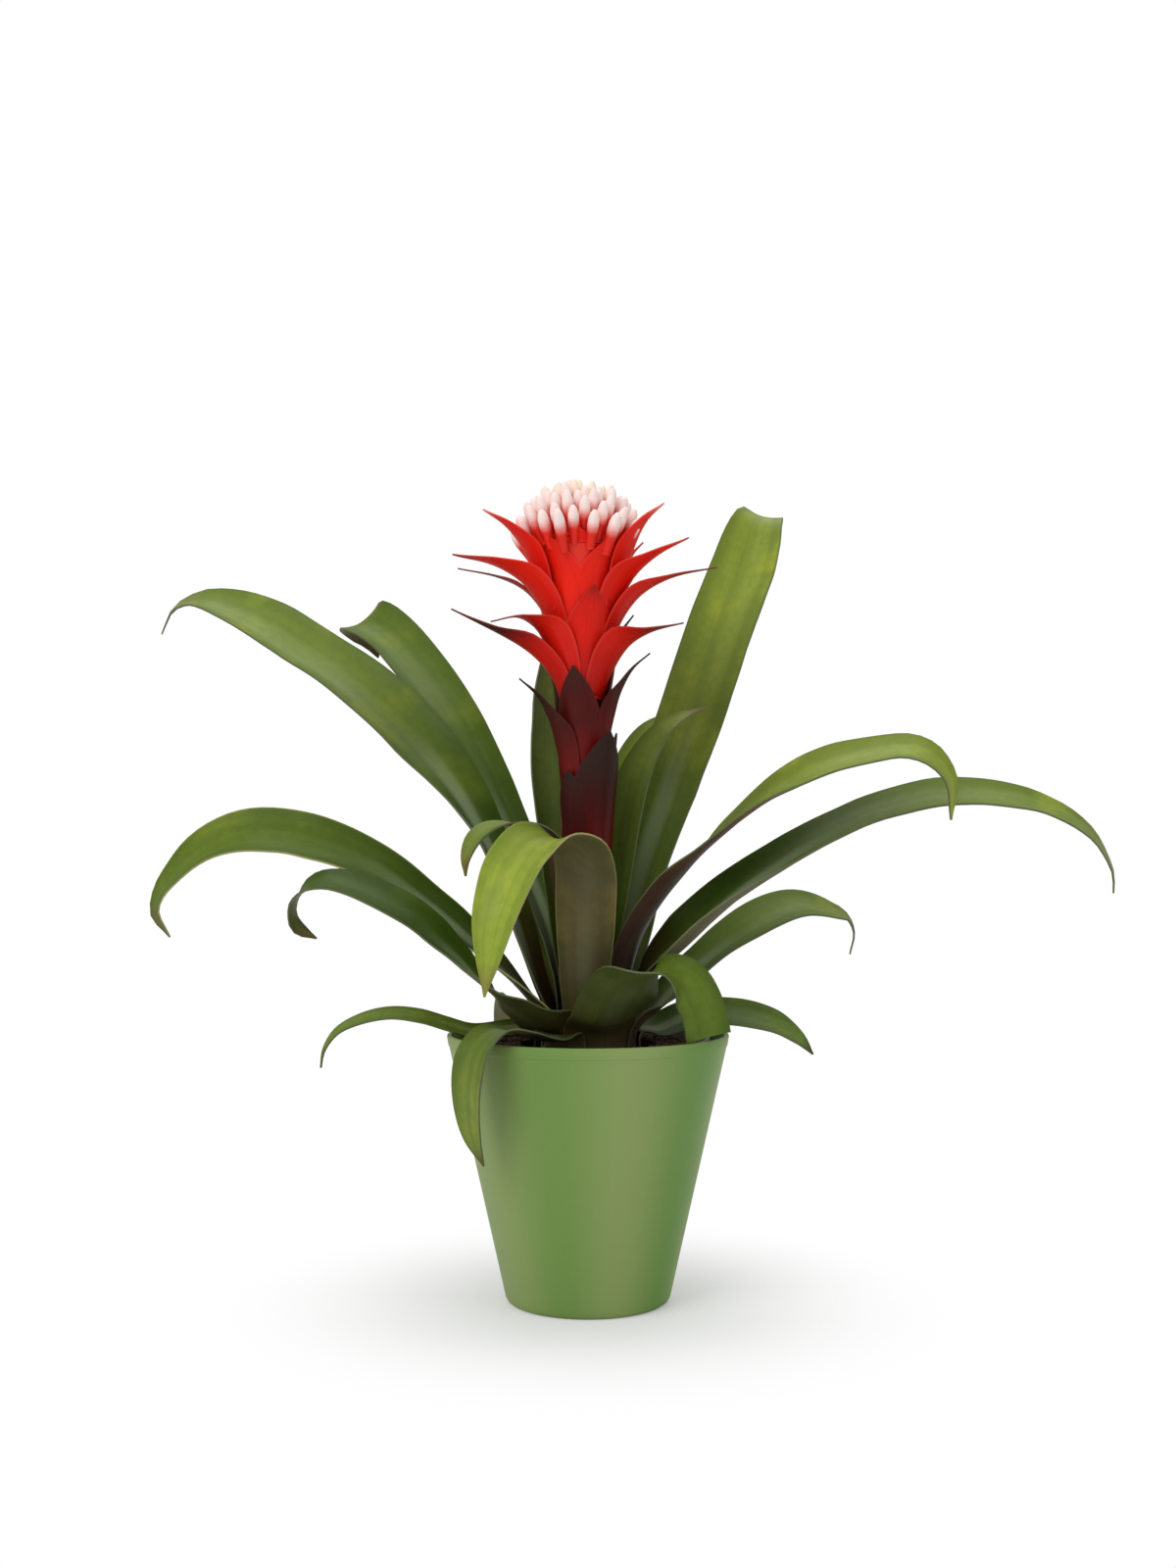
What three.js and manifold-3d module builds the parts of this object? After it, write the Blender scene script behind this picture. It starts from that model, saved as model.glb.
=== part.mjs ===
// A guzmania bromeliad in its pots. Millimetres, +Z up, the front of the plant towards -Y.
// The origin is the centre of the green pot's flat bottom.
import * as THREE from "three";
import { mergeVertices } from "three/addons/utils/BufferGeometryUtils.js";
import Module from "manifold-3d";

const wasm = await Module();
wasm.setup();

// Driving dimensions of the pots
const POT_HEIGHT = 140;
const POT_RIM_RADIUS = 75;
const POT_FOOT_RADIUS = 40;
const POT_WALL = 2.4;
const POT_FLOOR = 3;
const POT_BAND_HEIGHT = 6;
const NURSERY_TOP = 138;
const NURSERY_BOTTOM = 26;
const NURSERY_RIM_RADIUS = 65;
const NURSERY_WALL_TOP_RADIUS = 62;
const NURSERY_FOOT_RADIUS = 46;
const NURSERY_WALL = 1.5;
const DRAIN_HOLES = 6;
const DRAIN_HOLE_RADIUS = 4;
const DRAIN_CIRCLE_RADIUS = 34;
const TOUCH_GAP = 0.3;

// Driving dimensions of the soil and of the short stem that carries the rosette
const SOIL_TOP = 134.5;
const SOIL_TOP_RADIUS = 59.4;
const SOIL_FOOT_RADIUS = 44;
const CRUMB_HEIGHT = 1.6;
const FINE_CRUMB_HEIGHT = 0.6;
const CROWN_BOTTOM = 95;
const CROWN_TOP = 128;
const CROWN_RADIUS = 36;

// Driving dimensions of the leaves. The sheaths stand on rings round the stalk, the youngest leaf innermost.
const LEAF_THICKNESS = 1;
const FIRST_RING_RADIUS = 13;
const RING_STEP = 2.5;
const SHEATH_HEIGHT = 12;
const SHEATH_SPREAD = 0.68;
const SHEATH_OPENS = 60;
const SHEATH_FULLNESS = 1.12;
const SHEATH_NARROWS = 0.3;
const SHEATH_UNROLLS = 0.4;
const BLADE_CURL_RADIUS = 34;
const LEAF_WAIST = 0.85;
const WAIST_END = 0.6;
const WAIST_START = 0.2;
const LEAF_STEP = 21;
const LEAF_STRIPS = 4;

// Driving dimensions of the flower stalk and its head
const STALK_RADIUS = 9;
const STALK_TOP_RADIUS = 12;
const HEAD_BOTTOM = 318;
const HEAD_TOP = 399;
const HEAD_LEAN = 0.03;
const LEAN_START = 220;
const CORE_BOTTOM_RADIUS = 11.5;
const CORE_TOP_RADIUS = 24;
const DOME_RADIUS = 32;
const DOME_HEIGHT = 17;
const FLORETS = 46;
const FLORET_LENGTH = 19;
const FLORET_RADIUS = 3;
const FLORET_RISE = 17;
const FLORET_OUTER_TILT = 0.5;
const BRACT_THICKNESS = 1.1;
const BRACT_BELLY = 0.45;
const BRACT_ROOT_DEPTH = 1.5;
const BRACT_STANDS_OFF = 2.5;
const BRACT_FLARE = 2.6;
const BRACT_ROOT_SHARE = 0.8;
const BRACT_EARLY_RISE = 1.25;
const BOW_SCALE = 27 / 4;
const GOLDEN_ANGLE = Math.PI * (3 - Math.sqrt(5));

const COLOURS = {
  greenPlastic: 0x71894d,
  taupePlastic: 0x6d6453,
  soil: 0x3a2a1c,
  leaf: 0x5a6f28,
  paleLeaf: 0x96a844,
  crown: 0x4c4a2c,
  maroon: 0x451a18,
  red: 0xd02013,
  white: 0xfbe6dd,
};

const { lerp } = THREE.MathUtils;
const radians = (degrees) => (degrees * Math.PI) / 180;
const smooth = (x) => THREE.MathUtils.smoothstep(x, 0, 1);

function material(color, roughness) {
  return new THREE.MeshStandardMaterial({ color, roughness, metalness: 0 });
}

function part(name, geometry, surface) {
  const mesh = new THREE.Mesh(geometry, surface);
  mesh.name = name;
  return mesh;
}

// A closed geometry as a solid that can be joined and cut.
function solid(geometry) {
  const bare = geometry.clone();
  bare.deleteAttribute("normal");
  bare.deleteAttribute("uv");
  const merged = mergeVertices(bare, 1e-4);
  return new wasm.Manifold(
    new wasm.Mesh({
      numProp: 3,
      vertProperties: new Float32Array(merged.attributes.position.array),
      triVerts: new Uint32Array(merged.index.array),
    })
  );
}

// The largest body of a solid as a geometry, so that a loose scrap left by a cut is dropped.
function geometryOf(shape) {
  const bodies = shape.decompose().sort((a, b) => b.volume() - a.volume());
  const mesh = bodies[0].getMesh();
  const geometry = new THREE.BufferGeometry();
  geometry.setAttribute("position", new THREE.BufferAttribute(new Float32Array(mesh.vertProperties), 3));
  geometry.setIndex(new THREE.BufferAttribute(new Uint32Array(mesh.triVerts), 1));
  return geometry;
}

// A lathe turned about +Z from [radius, height] pairs.
function turned(profile, segments) {
  const geometry = new THREE.LatheGeometry(
    profile.map(([r, z]) => new THREE.Vector2(r, z)),
    segments
  );
  geometry.rotateX(Math.PI / 2);
  return geometry;
}

// A thin blade swept along a spine. Its upper face looks along `face` at the root and is carried along the
// spine without twist, then turned by roll. Each cross-section is an arc, and both faces split alike.
function blade({ spine, face, width, curl, roll = () => 0, thickness, steps, strips }) {
  const positions = [];
  const normal = face.clone();
  let before = null;
  for (let i = 0; i <= steps; i++) {
    const u = i / steps;
    const point = spine.getPointAt(u);
    const along = spine.getTangentAt(u);
    if (before) normal.applyQuaternion(new THREE.Quaternion().setFromUnitVectors(before, along));
    normal.addScaledVector(along, -normal.dot(along)).normalize();
    before = along.clone();
    const up = normal.clone().applyAxisAngle(along, roll(u));
    const across = new THREE.Vector3().crossVectors(along, up);
    const bend = curl(u, point);
    const half = width(u) / 2;
    for (const side of [0.5, -0.5]) {
      for (let j = 0; j <= strips; j++) {
        const angle = ((2 * j) / strips - 1) * half * bend;
        const radius = 1 / bend - side * thickness;
        const place = point.clone();
        place.addScaledVector(across, radius * Math.sin(angle));
        place.addScaledVector(up, 1 / bend - radius * Math.cos(angle));
        positions.push(place.x, place.y, place.z);
      }
    }
  }
  const ring = 2 * (strips + 1);
  const upper = (i, j) => i * ring + j;
  const lower = (i, j) => i * ring + strips + 1 + j;
  const faces = [];
  const quad = (a, b, c, d) => faces.push(a, b, c, a, c, d);
  for (let i = 0; i < steps; i++) {
    for (let j = 0; j < strips; j++) {
      quad(upper(i, j), upper(i, j + 1), upper(i + 1, j + 1), upper(i + 1, j));
      faces.push(lower(i, j), lower(i + 1, j + 1), lower(i, j + 1));
      faces.push(lower(i, j), lower(i + 1, j), lower(i + 1, j + 1));
    }
    quad(upper(i, 0), upper(i + 1, 0), lower(i + 1, 0), lower(i, 0));
    quad(upper(i, strips), lower(i, strips), lower(i + 1, strips), upper(i + 1, strips));
  }
  for (let j = 0; j < strips; j++) {
    quad(upper(0, j), lower(0, j), lower(0, j + 1), upper(0, j + 1));
    quad(upper(steps, j), upper(steps, j + 1), lower(steps, j + 1), lower(steps, j));
  }
  const geometry = new THREE.BufferGeometry();
  geometry.setAttribute("position", new THREE.Float32BufferAttribute(positions, 3));
  geometry.setIndex(faces);
  return geometry;
}

// The green outer pot: one moulded shell with a slightly proud band under its rim.
function greenPot() {
  const footEdge = 4.3;
  const footHeight = 5.5;
  const bandProud = 0.5;
  const wallTop = POT_HEIGHT - POT_BAND_HEIGHT;
  const wallTopRadius = POT_RIM_RADIUS - 1.2;
  const taper = (POT_RIM_RADIUS - POT_FOOT_RADIUS - footEdge) / (POT_HEIGHT - footHeight);
  const wallAcross = POT_WALL * Math.hypot(1, taper);
  return turned(
    [
      [0, 0],
      [POT_FOOT_RADIUS, 0],
      [POT_FOOT_RADIUS + 2.6, 1.1],
      [POT_FOOT_RADIUS + 3.9, 3.2],
      [POT_FOOT_RADIUS + footEdge, footHeight],
      [wallTopRadius, wallTop],
      [wallTopRadius + bandProud, wallTop + 0.6],
      [POT_RIM_RADIUS, POT_HEIGHT - 1],
      [POT_RIM_RADIUS - 0.6, POT_HEIGHT],
      [POT_RIM_RADIUS - POT_WALL + 0.6, POT_HEIGHT],
      [POT_RIM_RADIUS - POT_WALL, POT_HEIGHT - 0.8],
      [POT_FOOT_RADIUS + footEdge - wallAcross, footHeight],
      [POT_FOOT_RADIUS, POT_FLOOR],
      [0, POT_FLOOR],
    ],
    48
  );
}

// The taupe nursery pot that stands wedged inside it, with a rolled rim and drain holes.
function nurseryPot() {
  const rimDepth = 8;
  const floorTop = NURSERY_BOTTOM + NURSERY_WALL;
  const shell = turned(
    [
      [0, NURSERY_BOTTOM],
      [NURSERY_FOOT_RADIUS, NURSERY_BOTTOM],
      [NURSERY_WALL_TOP_RADIUS, NURSERY_TOP - rimDepth - 1],
      [NURSERY_RIM_RADIUS - 0.6, NURSERY_TOP - rimDepth],
      [NURSERY_RIM_RADIUS, NURSERY_TOP - 0.8],
      [NURSERY_RIM_RADIUS - 0.7, NURSERY_TOP],
      [NURSERY_RIM_RADIUS - 2, NURSERY_TOP],
      [NURSERY_RIM_RADIUS - 2.6, NURSERY_TOP - 0.9],
      [NURSERY_WALL_TOP_RADIUS - NURSERY_WALL, NURSERY_TOP - rimDepth - 2],
      [NURSERY_FOOT_RADIUS - NURSERY_WALL, floorTop],
      [0, floorTop],
    ],
    44
  );
  let pot = solid(shell);
  for (let i = 0; i < DRAIN_HOLES; i++) {
    const angle = (i * 2 * Math.PI) / DRAIN_HOLES;
    const hole = new THREE.CylinderGeometry(DRAIN_HOLE_RADIUS, DRAIN_HOLE_RADIUS, 4 * NURSERY_WALL, 10);
    hole.rotateX(Math.PI / 2);
    const [x, y] = [DRAIN_CIRCLE_RADIUS * Math.cos(angle), DRAIN_CIRCLE_RADIUS * Math.sin(angle)];
    hole.translate(x, y, NURSERY_BOTTOM);
    pot = pot.subtract(solid(hole));
  }
  return geometryOf(pot);
}

// The soil, crumbly on top, with the plain hole that the crown stands in.
function soil() {
  const floor = NURSERY_BOTTOM + NURSERY_WALL + TOUCH_GAP;
  const holeRadius = CROWN_RADIUS + TOUCH_GAP;
  const geometry = turned(
    [
      [0, floor],
      [SOIL_FOOT_RADIUS, floor],
      [SOIL_TOP_RADIUS - 0.2, SOIL_TOP - 3],
      [SOIL_TOP_RADIUS, SOIL_TOP],
      [lerp(SOIL_TOP_RADIUS, holeRadius, 0.25), SOIL_TOP],
      [lerp(SOIL_TOP_RADIUS, holeRadius, 0.5), SOIL_TOP],
      [lerp(SOIL_TOP_RADIUS, holeRadius, 0.75), SOIL_TOP],
      [holeRadius, SOIL_TOP - 1],
      [holeRadius, CROWN_BOTTOM],
      [0, CROWN_BOTTOM],
    ],
    36
  );
  const place = geometry.attributes.position;
  for (let i = 0; i < place.count; i++) {
    const [x, y, z] = [place.getX(i), place.getY(i), place.getZ(i)];
    const crumb = CRUMB_HEIGHT * Math.sin(0.55 * x + 1.3) * Math.cos(0.47 * y);
    const fine = FINE_CRUMB_HEIGHT * Math.sin(1.1 * y + 0.9 * x);
    if (z > SOIL_TOP - 0.5) place.setZ(i, z + crumb + fine);
  }
  return geometry;
}

// The crown: the stout short stem that the sheaths and the stalk grow from.
function crown() {
  return turned(
    [
      [0, CROWN_BOTTOM + TOUCH_GAP],
      [20, CROWN_BOTTOM + TOUCH_GAP],
      [30, CROWN_BOTTOM + 9],
      [CROWN_RADIUS - 1, CROWN_BOTTOM + 20],
      [CROWN_RADIUS, CROWN_TOP - 2],
      [CROWN_RADIUS - 2, CROWN_TOP],
      [0, CROWN_TOP],
    ],
    24
  );
}

// The leaves. Each has the ring and direction that its sheath stands in, its widest width, the length of its
// tapered end as a share of the blade, the roll in degrees from root to tip, for one the radius of its deeper
// channel, and the points that its spine arches through.
const LEAVES = {
  leaf_back_narrow: {
    ring: 0, from: 125, width: 26, taper: 0.45, roll: [0, 10, 20],
    points: [[-13, 15, 196], [-20, 20, 247], [-24, 26, 285], [-24, 30, 323], [-19, 35, 354], [-11, 40, 378]],
  },
  leaf_back_right: {
    ring: 0, from: 42, width: 27, taper: 0.5, roll: [0, 10, 20],
    points: [[11, 10, 189], [14, 13, 220], [21, 17, 258], [29, 21, 285], [41, 26, 304], [54, 30, 313],
      [66, 33, 317]],
  },
  leaf_front_left_small: {
    ring: 0, from: 235, width: 24, taper: 0.35, roll: [0, 0, -20, -50],
    points: [[-8, -14, 190], [-14, -18, 228], [-25, -26, 245], [-38, -33, 250], [-50, -39, 249],
      [-58, -44, 243], [-62, -46, 233], [-62, -47, 224]],
  },
  leaf_upper_right: {
    ring: 1, from: 45, width: 42, taper: 0.25, roll: [0, 30, 35],
    points: [[18, 15, 185], [30, 26, 229], [46, 44, 275], [62, 62, 319], [80, 84, 371], [93, 100, 404],
      [105, 118, 441], [112, 135, 441], [113, 148, 420]],
  },
  leaf_upper_left_second: {
    ring: 1, from: 148, width: 38, taper: 0.16, roll: [0, -8, -30, -30],
    points: [[-17, 22, 180], [-31, 41, 219], [-49, 55, 256], [-79, 81, 315], [-112, 112, 364],
      [-129, 126, 382], [-142, 140, 389], [-150, 156, 376]],
  },
  leaf_right_second: {
    ring: 1, from: 326, width: 35, taper: 0.35, roll: [0, -5, 44, 46],
    points: [[24, -14, 190], [39, -20, 215], [54, -27, 230], [73, -36, 248], [95, -45, 266], [121, -53, 279],
      [145, -60, 285], [160, -66, 287], [172, -70, 282], [180, -70, 271], [180, -70, 252]],
  },
  leaf_back_right_pale: {
    ring: 2, from: 65, width: 32, taper: 0.35, roll: [0, 10, 10],
    points: [[15, 36, 200], [21, 54, 250], [31, 70, 288], [44, 84, 308], [58, 98, 314], [70, 110, 302]],
  },
  leaf_upper_left_long: {
    ring: 2, from: 176, width: 42, taper: 0.3, roll: [0, -14, -55, -52, -45],
    points: [[-27, -3, 165], [-39, -2, 200], [-59, 14, 249], [-89, 36, 294], [-126, 52, 332],
      [-157, 66, 354], [-187, 78, 375], [-219, 88, 387], [-234, 93, 388], [-247, 96, 382],
      [-255, 98, 367]],
  },
  leaf_front_centre: {
    ring: 2, from: 266, width: 37, taper: 0.4, roll: [0, -10, -48, -60],
    points: [[-2, -25, 170], [-2, -31, 202], [-3, -38, 227], [-8, -47, 239], [-21, -60, 243],
      [-34, -73, 231], [-41, -80, 216], [-46, -84, 200], [-50, -86, 166]],
  },
  leaf_back_left: {
    ring: 3, from: 118, width: 28, taper: 0.35, roll: [0, 0, 0],
    points: [[-23, 42, 190], [-42, 68, 240], [-66, 96, 282], [-84, 116, 300], [-96, 134, 303],
      [-101, 150, 290]],
  },
  leaf_left_long: {
    ring: 3, from: 198, width: 36, taper: 0.3, roll: [0, -50, -70, -55],
    points: [[-34, -5, 163], [-62, 3, 191], [-84, 9, 209], [-112, 14, 228], [-140, 18, 240], [-167, 20, 246],
      [-190, 20, 245], [-211, 20, 237], [-225, 19, 225], [-234, 18, 213], [-236, 17, 203], [-228, 16, 190]],
  },
  leaf_right_long: {
    ring: 3, from: 352, width: 40, taper: 0.3, roll: [0, 22, 28, 22], channel: 22,
    points: [[34, -15, 174], [50, -23, 190], [76, -28, 215], [112, -31, 240], [149, -32, 259],
      [181, -32, 267], [209, -32, 267], [236, -31, 262], [260, -30, 248], [272, -28, 227],
      [273, -27, 215]],
  },
  leaf_back_upright: {
    ring: 4, from: 66, width: 34, taper: 0.4, roll: [0, 0, 0],
    points: [[22, 50, 186], [37, 84, 240], [50, 116, 282], [59, 146, 300], [62, 172, 294], [62, 190, 274]],
  },
  leaf_left_lower: {
    ring: 3.8, from: 230, width: 33, taper: 0.5, roll: [0, 0, -45, -58, -55, -30, 0],
    points: [[-27, -25, 150], [-44, -32, 164], [-65, -37, 182], [-90, -40, 202], [-113, -40, 213],
      [-133, -40, 219], [-145, -39, 218], [-154, -38, 207], [-151, -38, 197], [-140, -38, 192]],
  },
  leaf_front_right_folded: {
    ring: 4.9, from: 290, width: 40, taper: 0.12, roll: [0, 3, -8, 45, 110, 115],
    points: [[12, -34, 149], [16, -42, 160], [25, -50, 171], [38, -56, 177], [49, -56, 171],
      [55, -52, 161], [61, -47, 150], [64.5, -44, 143.5]],
  },
  leaf_back_long: {
    ring: 5, from: 92, width: 32, taper: 0.35, roll: [0, 0, 0],
    points: [[-3, 52, 174], [-6, 82, 208], [-8, 112, 236], [-9, 144, 246], [-9, 175, 234], [-9, 190, 208]],
  },
  leaf_right_lower: {
    ring: 5, from: 8, width: 33, taper: 0.35, roll: [0, 30, 40, 28],
    points: [[36, 10, 151], [56, 15, 172], [76, 20, 189], [100, 26, 204], [118, 30, 208], [135, 32, 205],
      [143, 34, 200], [147, 34, 192], [145, 34, 180]],
  },
  leaf_left_thin: {
    ring: 5, from: 157, width: 14, taper: 0.45, roll: [0, 10, 25],
    points: [[-38, 0, 144], [-60, -12, 145], [-74, -19, 147.5], [-88, -25, 151], [-103, -27, 152.5],
      [-118, -28, 148], [-129, -28, 141], [-136, -28, 133], [-138, -28, 125]],
  },
  leaf_right_low: {
    ring: 6, from: 26, width: 26, taper: 0.4, roll: [0, 15, 20],
    points: [[38, 16, 141], [56, 20, 147], [77, 21, 148], [91, 20, 146], [104, 18, 142], [115, 16, 135],
      [122, 14, 127]],
  },
  leaf_back_low: {
    ring: 6, from: 106, width: 30, taper: 0.4, roll: [0, 0, 0],
    points: [[-2, 44, 145], [8, 68, 154], [18, 92, 155], [27, 118, 146], [31, 136, 127], [32, 144, 104]],
  },
  leaf_front_left_hanging: {
    ring: 6, from: 240, width: 23, taper: 0.4, roll: [0, 0, -12, -22],
    points: [[-22, -38, 142], [-34, -50, 147], [-47, -60, 147], [-58, -67, 137], [-62, -68, 122],
      [-62, -65, 105], [-59, -62, 92], [-52, -58, 80]],
  },
  leaf_back_drooping: {
    ring: 7, from: 130, width: 30, taper: 0.4, roll: [0, 0, 0],
    points: [[-28, 42, 143], [-35, 62, 149], [-40, 84, 147], [-43, 104, 136], [-44, 120, 116],
      [-44, 128, 90]],
  },
};

// A value that runs smoothly through evenly spaced stops from u = 0 to u = 1.
function between(stops, u) {
  const place = u * (stops.length - 1);
  const i = Math.min(Math.floor(place), stops.length - 2);
  return lerp(stops[i], stops[i + 1], smooth(place - i));
}

// A strap leaf: a broad sheath that clasps the crown, a waist, a wider blade and a pointed tip.
function leaf({ ring, from, width, taper, roll, points, channel = BLADE_CURL_RADIUS }) {
  const radius = FIRST_RING_RADIUS + RING_STEP * ring;
  const outward = new THREE.Vector3(Math.cos(radians(from)), Math.sin(radians(from)), 0);
  const root = outward.clone().multiplyScalar(radius).setZ(CROWN_TOP + TOUCH_GAP);
  const sheathTop = root.clone().setZ(root.z + SHEATH_HEIGHT);
  const places = points.map((p) => new THREE.Vector3(...p));
  const spine = new THREE.CatmullRomCurve3([root, sheathTop, ...places], false, "centripetal");
  const length = spine.getLength();
  const open = SHEATH_OPENS / length;
  const sheathWidth = Math.min(SHEATH_FULLNESS * width, 2 * SHEATH_SPREAD * radius);
  return blade({
    spine,
    face: outward.clone().negate(),
    width: (u) => {
      const waist = lerp(LEAF_WAIST * width, width, smooth((u - WAIST_START) / (WAIST_END - WAIST_START)));
      const body = lerp(sheathWidth, waist, smooth((u - SHEATH_NARROWS * open) / open));
      const end = Math.max(0, (u - 1 + taper) / taper);
      return Math.max(1, body * (1 - end ** 2));
    },
    curl: (u, point) => {
      const wrapped = 1 / Math.hypot(point.x, point.y);
      return lerp(wrapped, 1 / channel, smooth((u - SHEATH_UNROLLS * open) / open));
    },
    roll: (u) => radians(between(roll, u)),
    thickness: LEAF_THICKNESS,
    steps: Math.round(length / LEAF_STEP) + 2,
    strips: LEAF_STRIPS,
  });
}

// The flower stalk leans a little to the left as it rises.
const headCentre = (z) => -HEAD_LEAN * Math.max(0, z - LEAN_START);

// The radius of the red core under the bracts.
function coreRadius(z) {
  const share = Math.max(0, z - HEAD_BOTTOM) / (HEAD_TOP - HEAD_BOTTOM);
  return lerp(CORE_BOTTOM_RADIUS, CORE_TOP_RADIUS, share ** 2);
}

// A clasping bract: it stands on the head at one height, wraps round it, then flares out to its pointed tip.
// With grow it is the room that the bract needs.
function bract([from, root, reach, tip, width, hold, arch = 0], grow) {
  const turn = radians(from);
  const inner = hold - BRACT_ROOT_DEPTH;
  const outer = hold + BRACT_STANDS_OFF;
  const places = [];
  for (let i = 0; i <= 5; i++) {
    const t = i / 5;
    const radius = lerp(inner, outer, Math.min(1, 3 * t)) + (reach - outer) * t ** BRACT_FLARE;
    const rise = BRACT_EARLY_RISE * t + (1 - BRACT_EARLY_RISE) * t ** 3;
    const height = root + (tip - root) * rise + arch * BOW_SCALE * t ** 2 * (1 - t);
    const x = headCentre(root) + radius * Math.cos(turn);
    places.push(new THREE.Vector3(x, radius * Math.sin(turn), height));
  }
  const wide = width + 2 * grow;
  const outline = (u) => {
    if (u < BRACT_BELLY) return lerp(BRACT_ROOT_SHARE, 1, u / BRACT_BELLY);
    return 1 - ((u - BRACT_BELLY) / (1 - BRACT_BELLY)) ** 1.7;
  };
  return blade({
    spine: new THREE.CatmullRomCurve3(places, false, "centripetal"),
    face: new THREE.Vector3(-Math.cos(turn), -Math.sin(turn), 0),
    width: (u) => Math.max(0.8 + 2 * grow, wide * outline(u)),
    curl: (u) => 1 / lerp(hold + 1, hold + 3, u),
    thickness: BRACT_THICKNESS + 2 * grow,
    steps: 5,
    strips: 2,
  });
}

// The bracts: direction, root height, reach of the tip, tip height, width, the radius that is held, and for
// some the height that they bow upwards on the way.
const RED_BRACTS = [
  [204, 364, 56, 417, 24, 21.5],
  [-24, 366, 48, 421, 24, 21.5],
  [203, 344, 73, 392, 30, 16, 3],
  [168, 350, 69, 391, 22, 17],
  [-26, 346, 63, 401, 30, 16.5],
  [-14, 336, 74, 387, 24, 15, 3],
  [286, 326, 24, 377, 32, 14.5],
  [236, 340, 29, 401, 34, 15.5],
  [302, 340, 29, 401, 34, 15.5],
  [204, 314, 75, 363, 26, 12.5, -5],
  [215, 320, 58, 356, 32, 13.5, 10],
  [-28, 320, 60, 356, 33, 13.5, 2],
  [50, 344, 48, 396, 30, 16.5],
  [95, 336, 40, 383, 30, 15],
  [135, 348, 50, 398, 30, 16.5],
  [90, 360, 40, 412, 28, 20.5],
  [268, 352, 26, 397, 32, 13.5],
];
const MAROON_BRACTS = [
  [25, 296, 30, 366, 22, 12],
  [150, 280, 22, 334, 24, 11.5],
  [-20, 280, 37, 342, 22, 11.5],
  [206, 262, 39, 328, 26, 11.5],
  [250, 272, 18, 335, 30, 12],
  [300, 230, 24, 300, 37, 12.5],
  [232, 222, 17, 280, 34, 11.5],
  [340, 244, 17, 300, 28, 11.5],
  [150, 240, 20, 312, 28, 11.5],
  [90, 258, 24, 330, 30, 11.5],
  [60, 226, 22, 300, 30, 11.5],
  [120, 212, 20, 284, 30, 11.5],
];

// A leaning lathe: the same profile, with each height moved over by the lean of the stalk.
function leaning(profile, segments) {
  const geometry = turned(profile, segments);
  const place = geometry.attributes.position;
  for (let i = 0; i < place.count; i++) place.setX(i, place.getX(i) + headCentre(place.getZ(i)));
  return geometry;
}

// The stalk with its maroon bracts, cut clear of the red head that sits on it.
function stalk(room) {
  let shape = solid(
    leaning(
      [
        [0, CROWN_TOP + TOUCH_GAP],
        [STALK_RADIUS, CROWN_TOP + TOUCH_GAP],
        [STALK_RADIUS, LEAN_START - 15],
        [STALK_TOP_RADIUS, LEAN_START + 20],
        [STALK_TOP_RADIUS, HEAD_BOTTOM - TOUCH_GAP],
        [0, HEAD_BOTTOM - TOUCH_GAP],
      ],
      16
    )
  );
  for (const each of MAROON_BRACTS) shape = shape.add(solid(bract(each, 0)));
  return shape.subtract(room);
}

// The red head: a core that widens upwards, wrapped in bracts. With grow it is the room that it needs.
function redHead(grow) {
  const profile = [[0, HEAD_BOTTOM - grow]];
  for (let i = 0; i <= 3; i++) {
    const z = lerp(HEAD_BOTTOM - grow, HEAD_TOP, i / 3);
    profile.push([coreRadius(z) + grow, z]);
  }
  profile.push([0, HEAD_TOP]);
  let shape = solid(leaning(profile, 14));
  for (const each of RED_BRACTS) shape = shape.add(solid(bract(each, grow)));
  return shape;
}

// The dome of white florets, each a blunt finger that stands out of a low cap.
function floretDome(grow) {
  const base = HEAD_TOP + TOUCH_GAP - grow;
  const centre = headCentre(HEAD_TOP);
  const cap = turned(
    [
      [0, base],
      [DOME_RADIUS - 4 + grow, base],
      [DOME_RADIUS - 6 + grow, base + 0.5 * DOME_HEIGHT],
      [0.5 * DOME_RADIUS, base + 0.85 * DOME_HEIGHT],
      [0, base + DOME_HEIGHT],
    ],
    20
  );
  cap.translate(centre, 0, 0);
  let shape = solid(cap);
  for (let i = 0; i < FLORETS; i++) {
    const share = Math.sqrt((i + 0.5) / FLORETS);
    const turn = i * GOLDEN_ANGLE;
    const radius = FLORET_RADIUS + grow;
    const finger = turned(
      [
        [0, 0],
        [0.8 * radius, 0],
        [radius, 0.75 * FLORET_LENGTH],
        [0, FLORET_LENGTH + grow],
      ],
      5
    );
    finger.rotateY(FLORET_OUTER_TILT * share ** 1.6);
    finger.rotateZ(turn);
    const out = (DOME_RADIUS - 7) * share;
    const low = base + FLORET_RISE * (1 - share ** 3) + 0.3;
    finger.translate(centre + out * Math.cos(turn), out * Math.sin(turn), low);
    shape = shape.add(solid(finger));
  }
  return shape;
}

const greenPlastic = material(COLOURS.greenPlastic, 0.45);
const taupePlastic = material(COLOURS.taupePlastic, 0.6);
const leafSkin = material(COLOURS.leaf, 0.4);
const paleLeafSkin = material(COLOURS.paleLeaf, 0.45);

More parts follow.
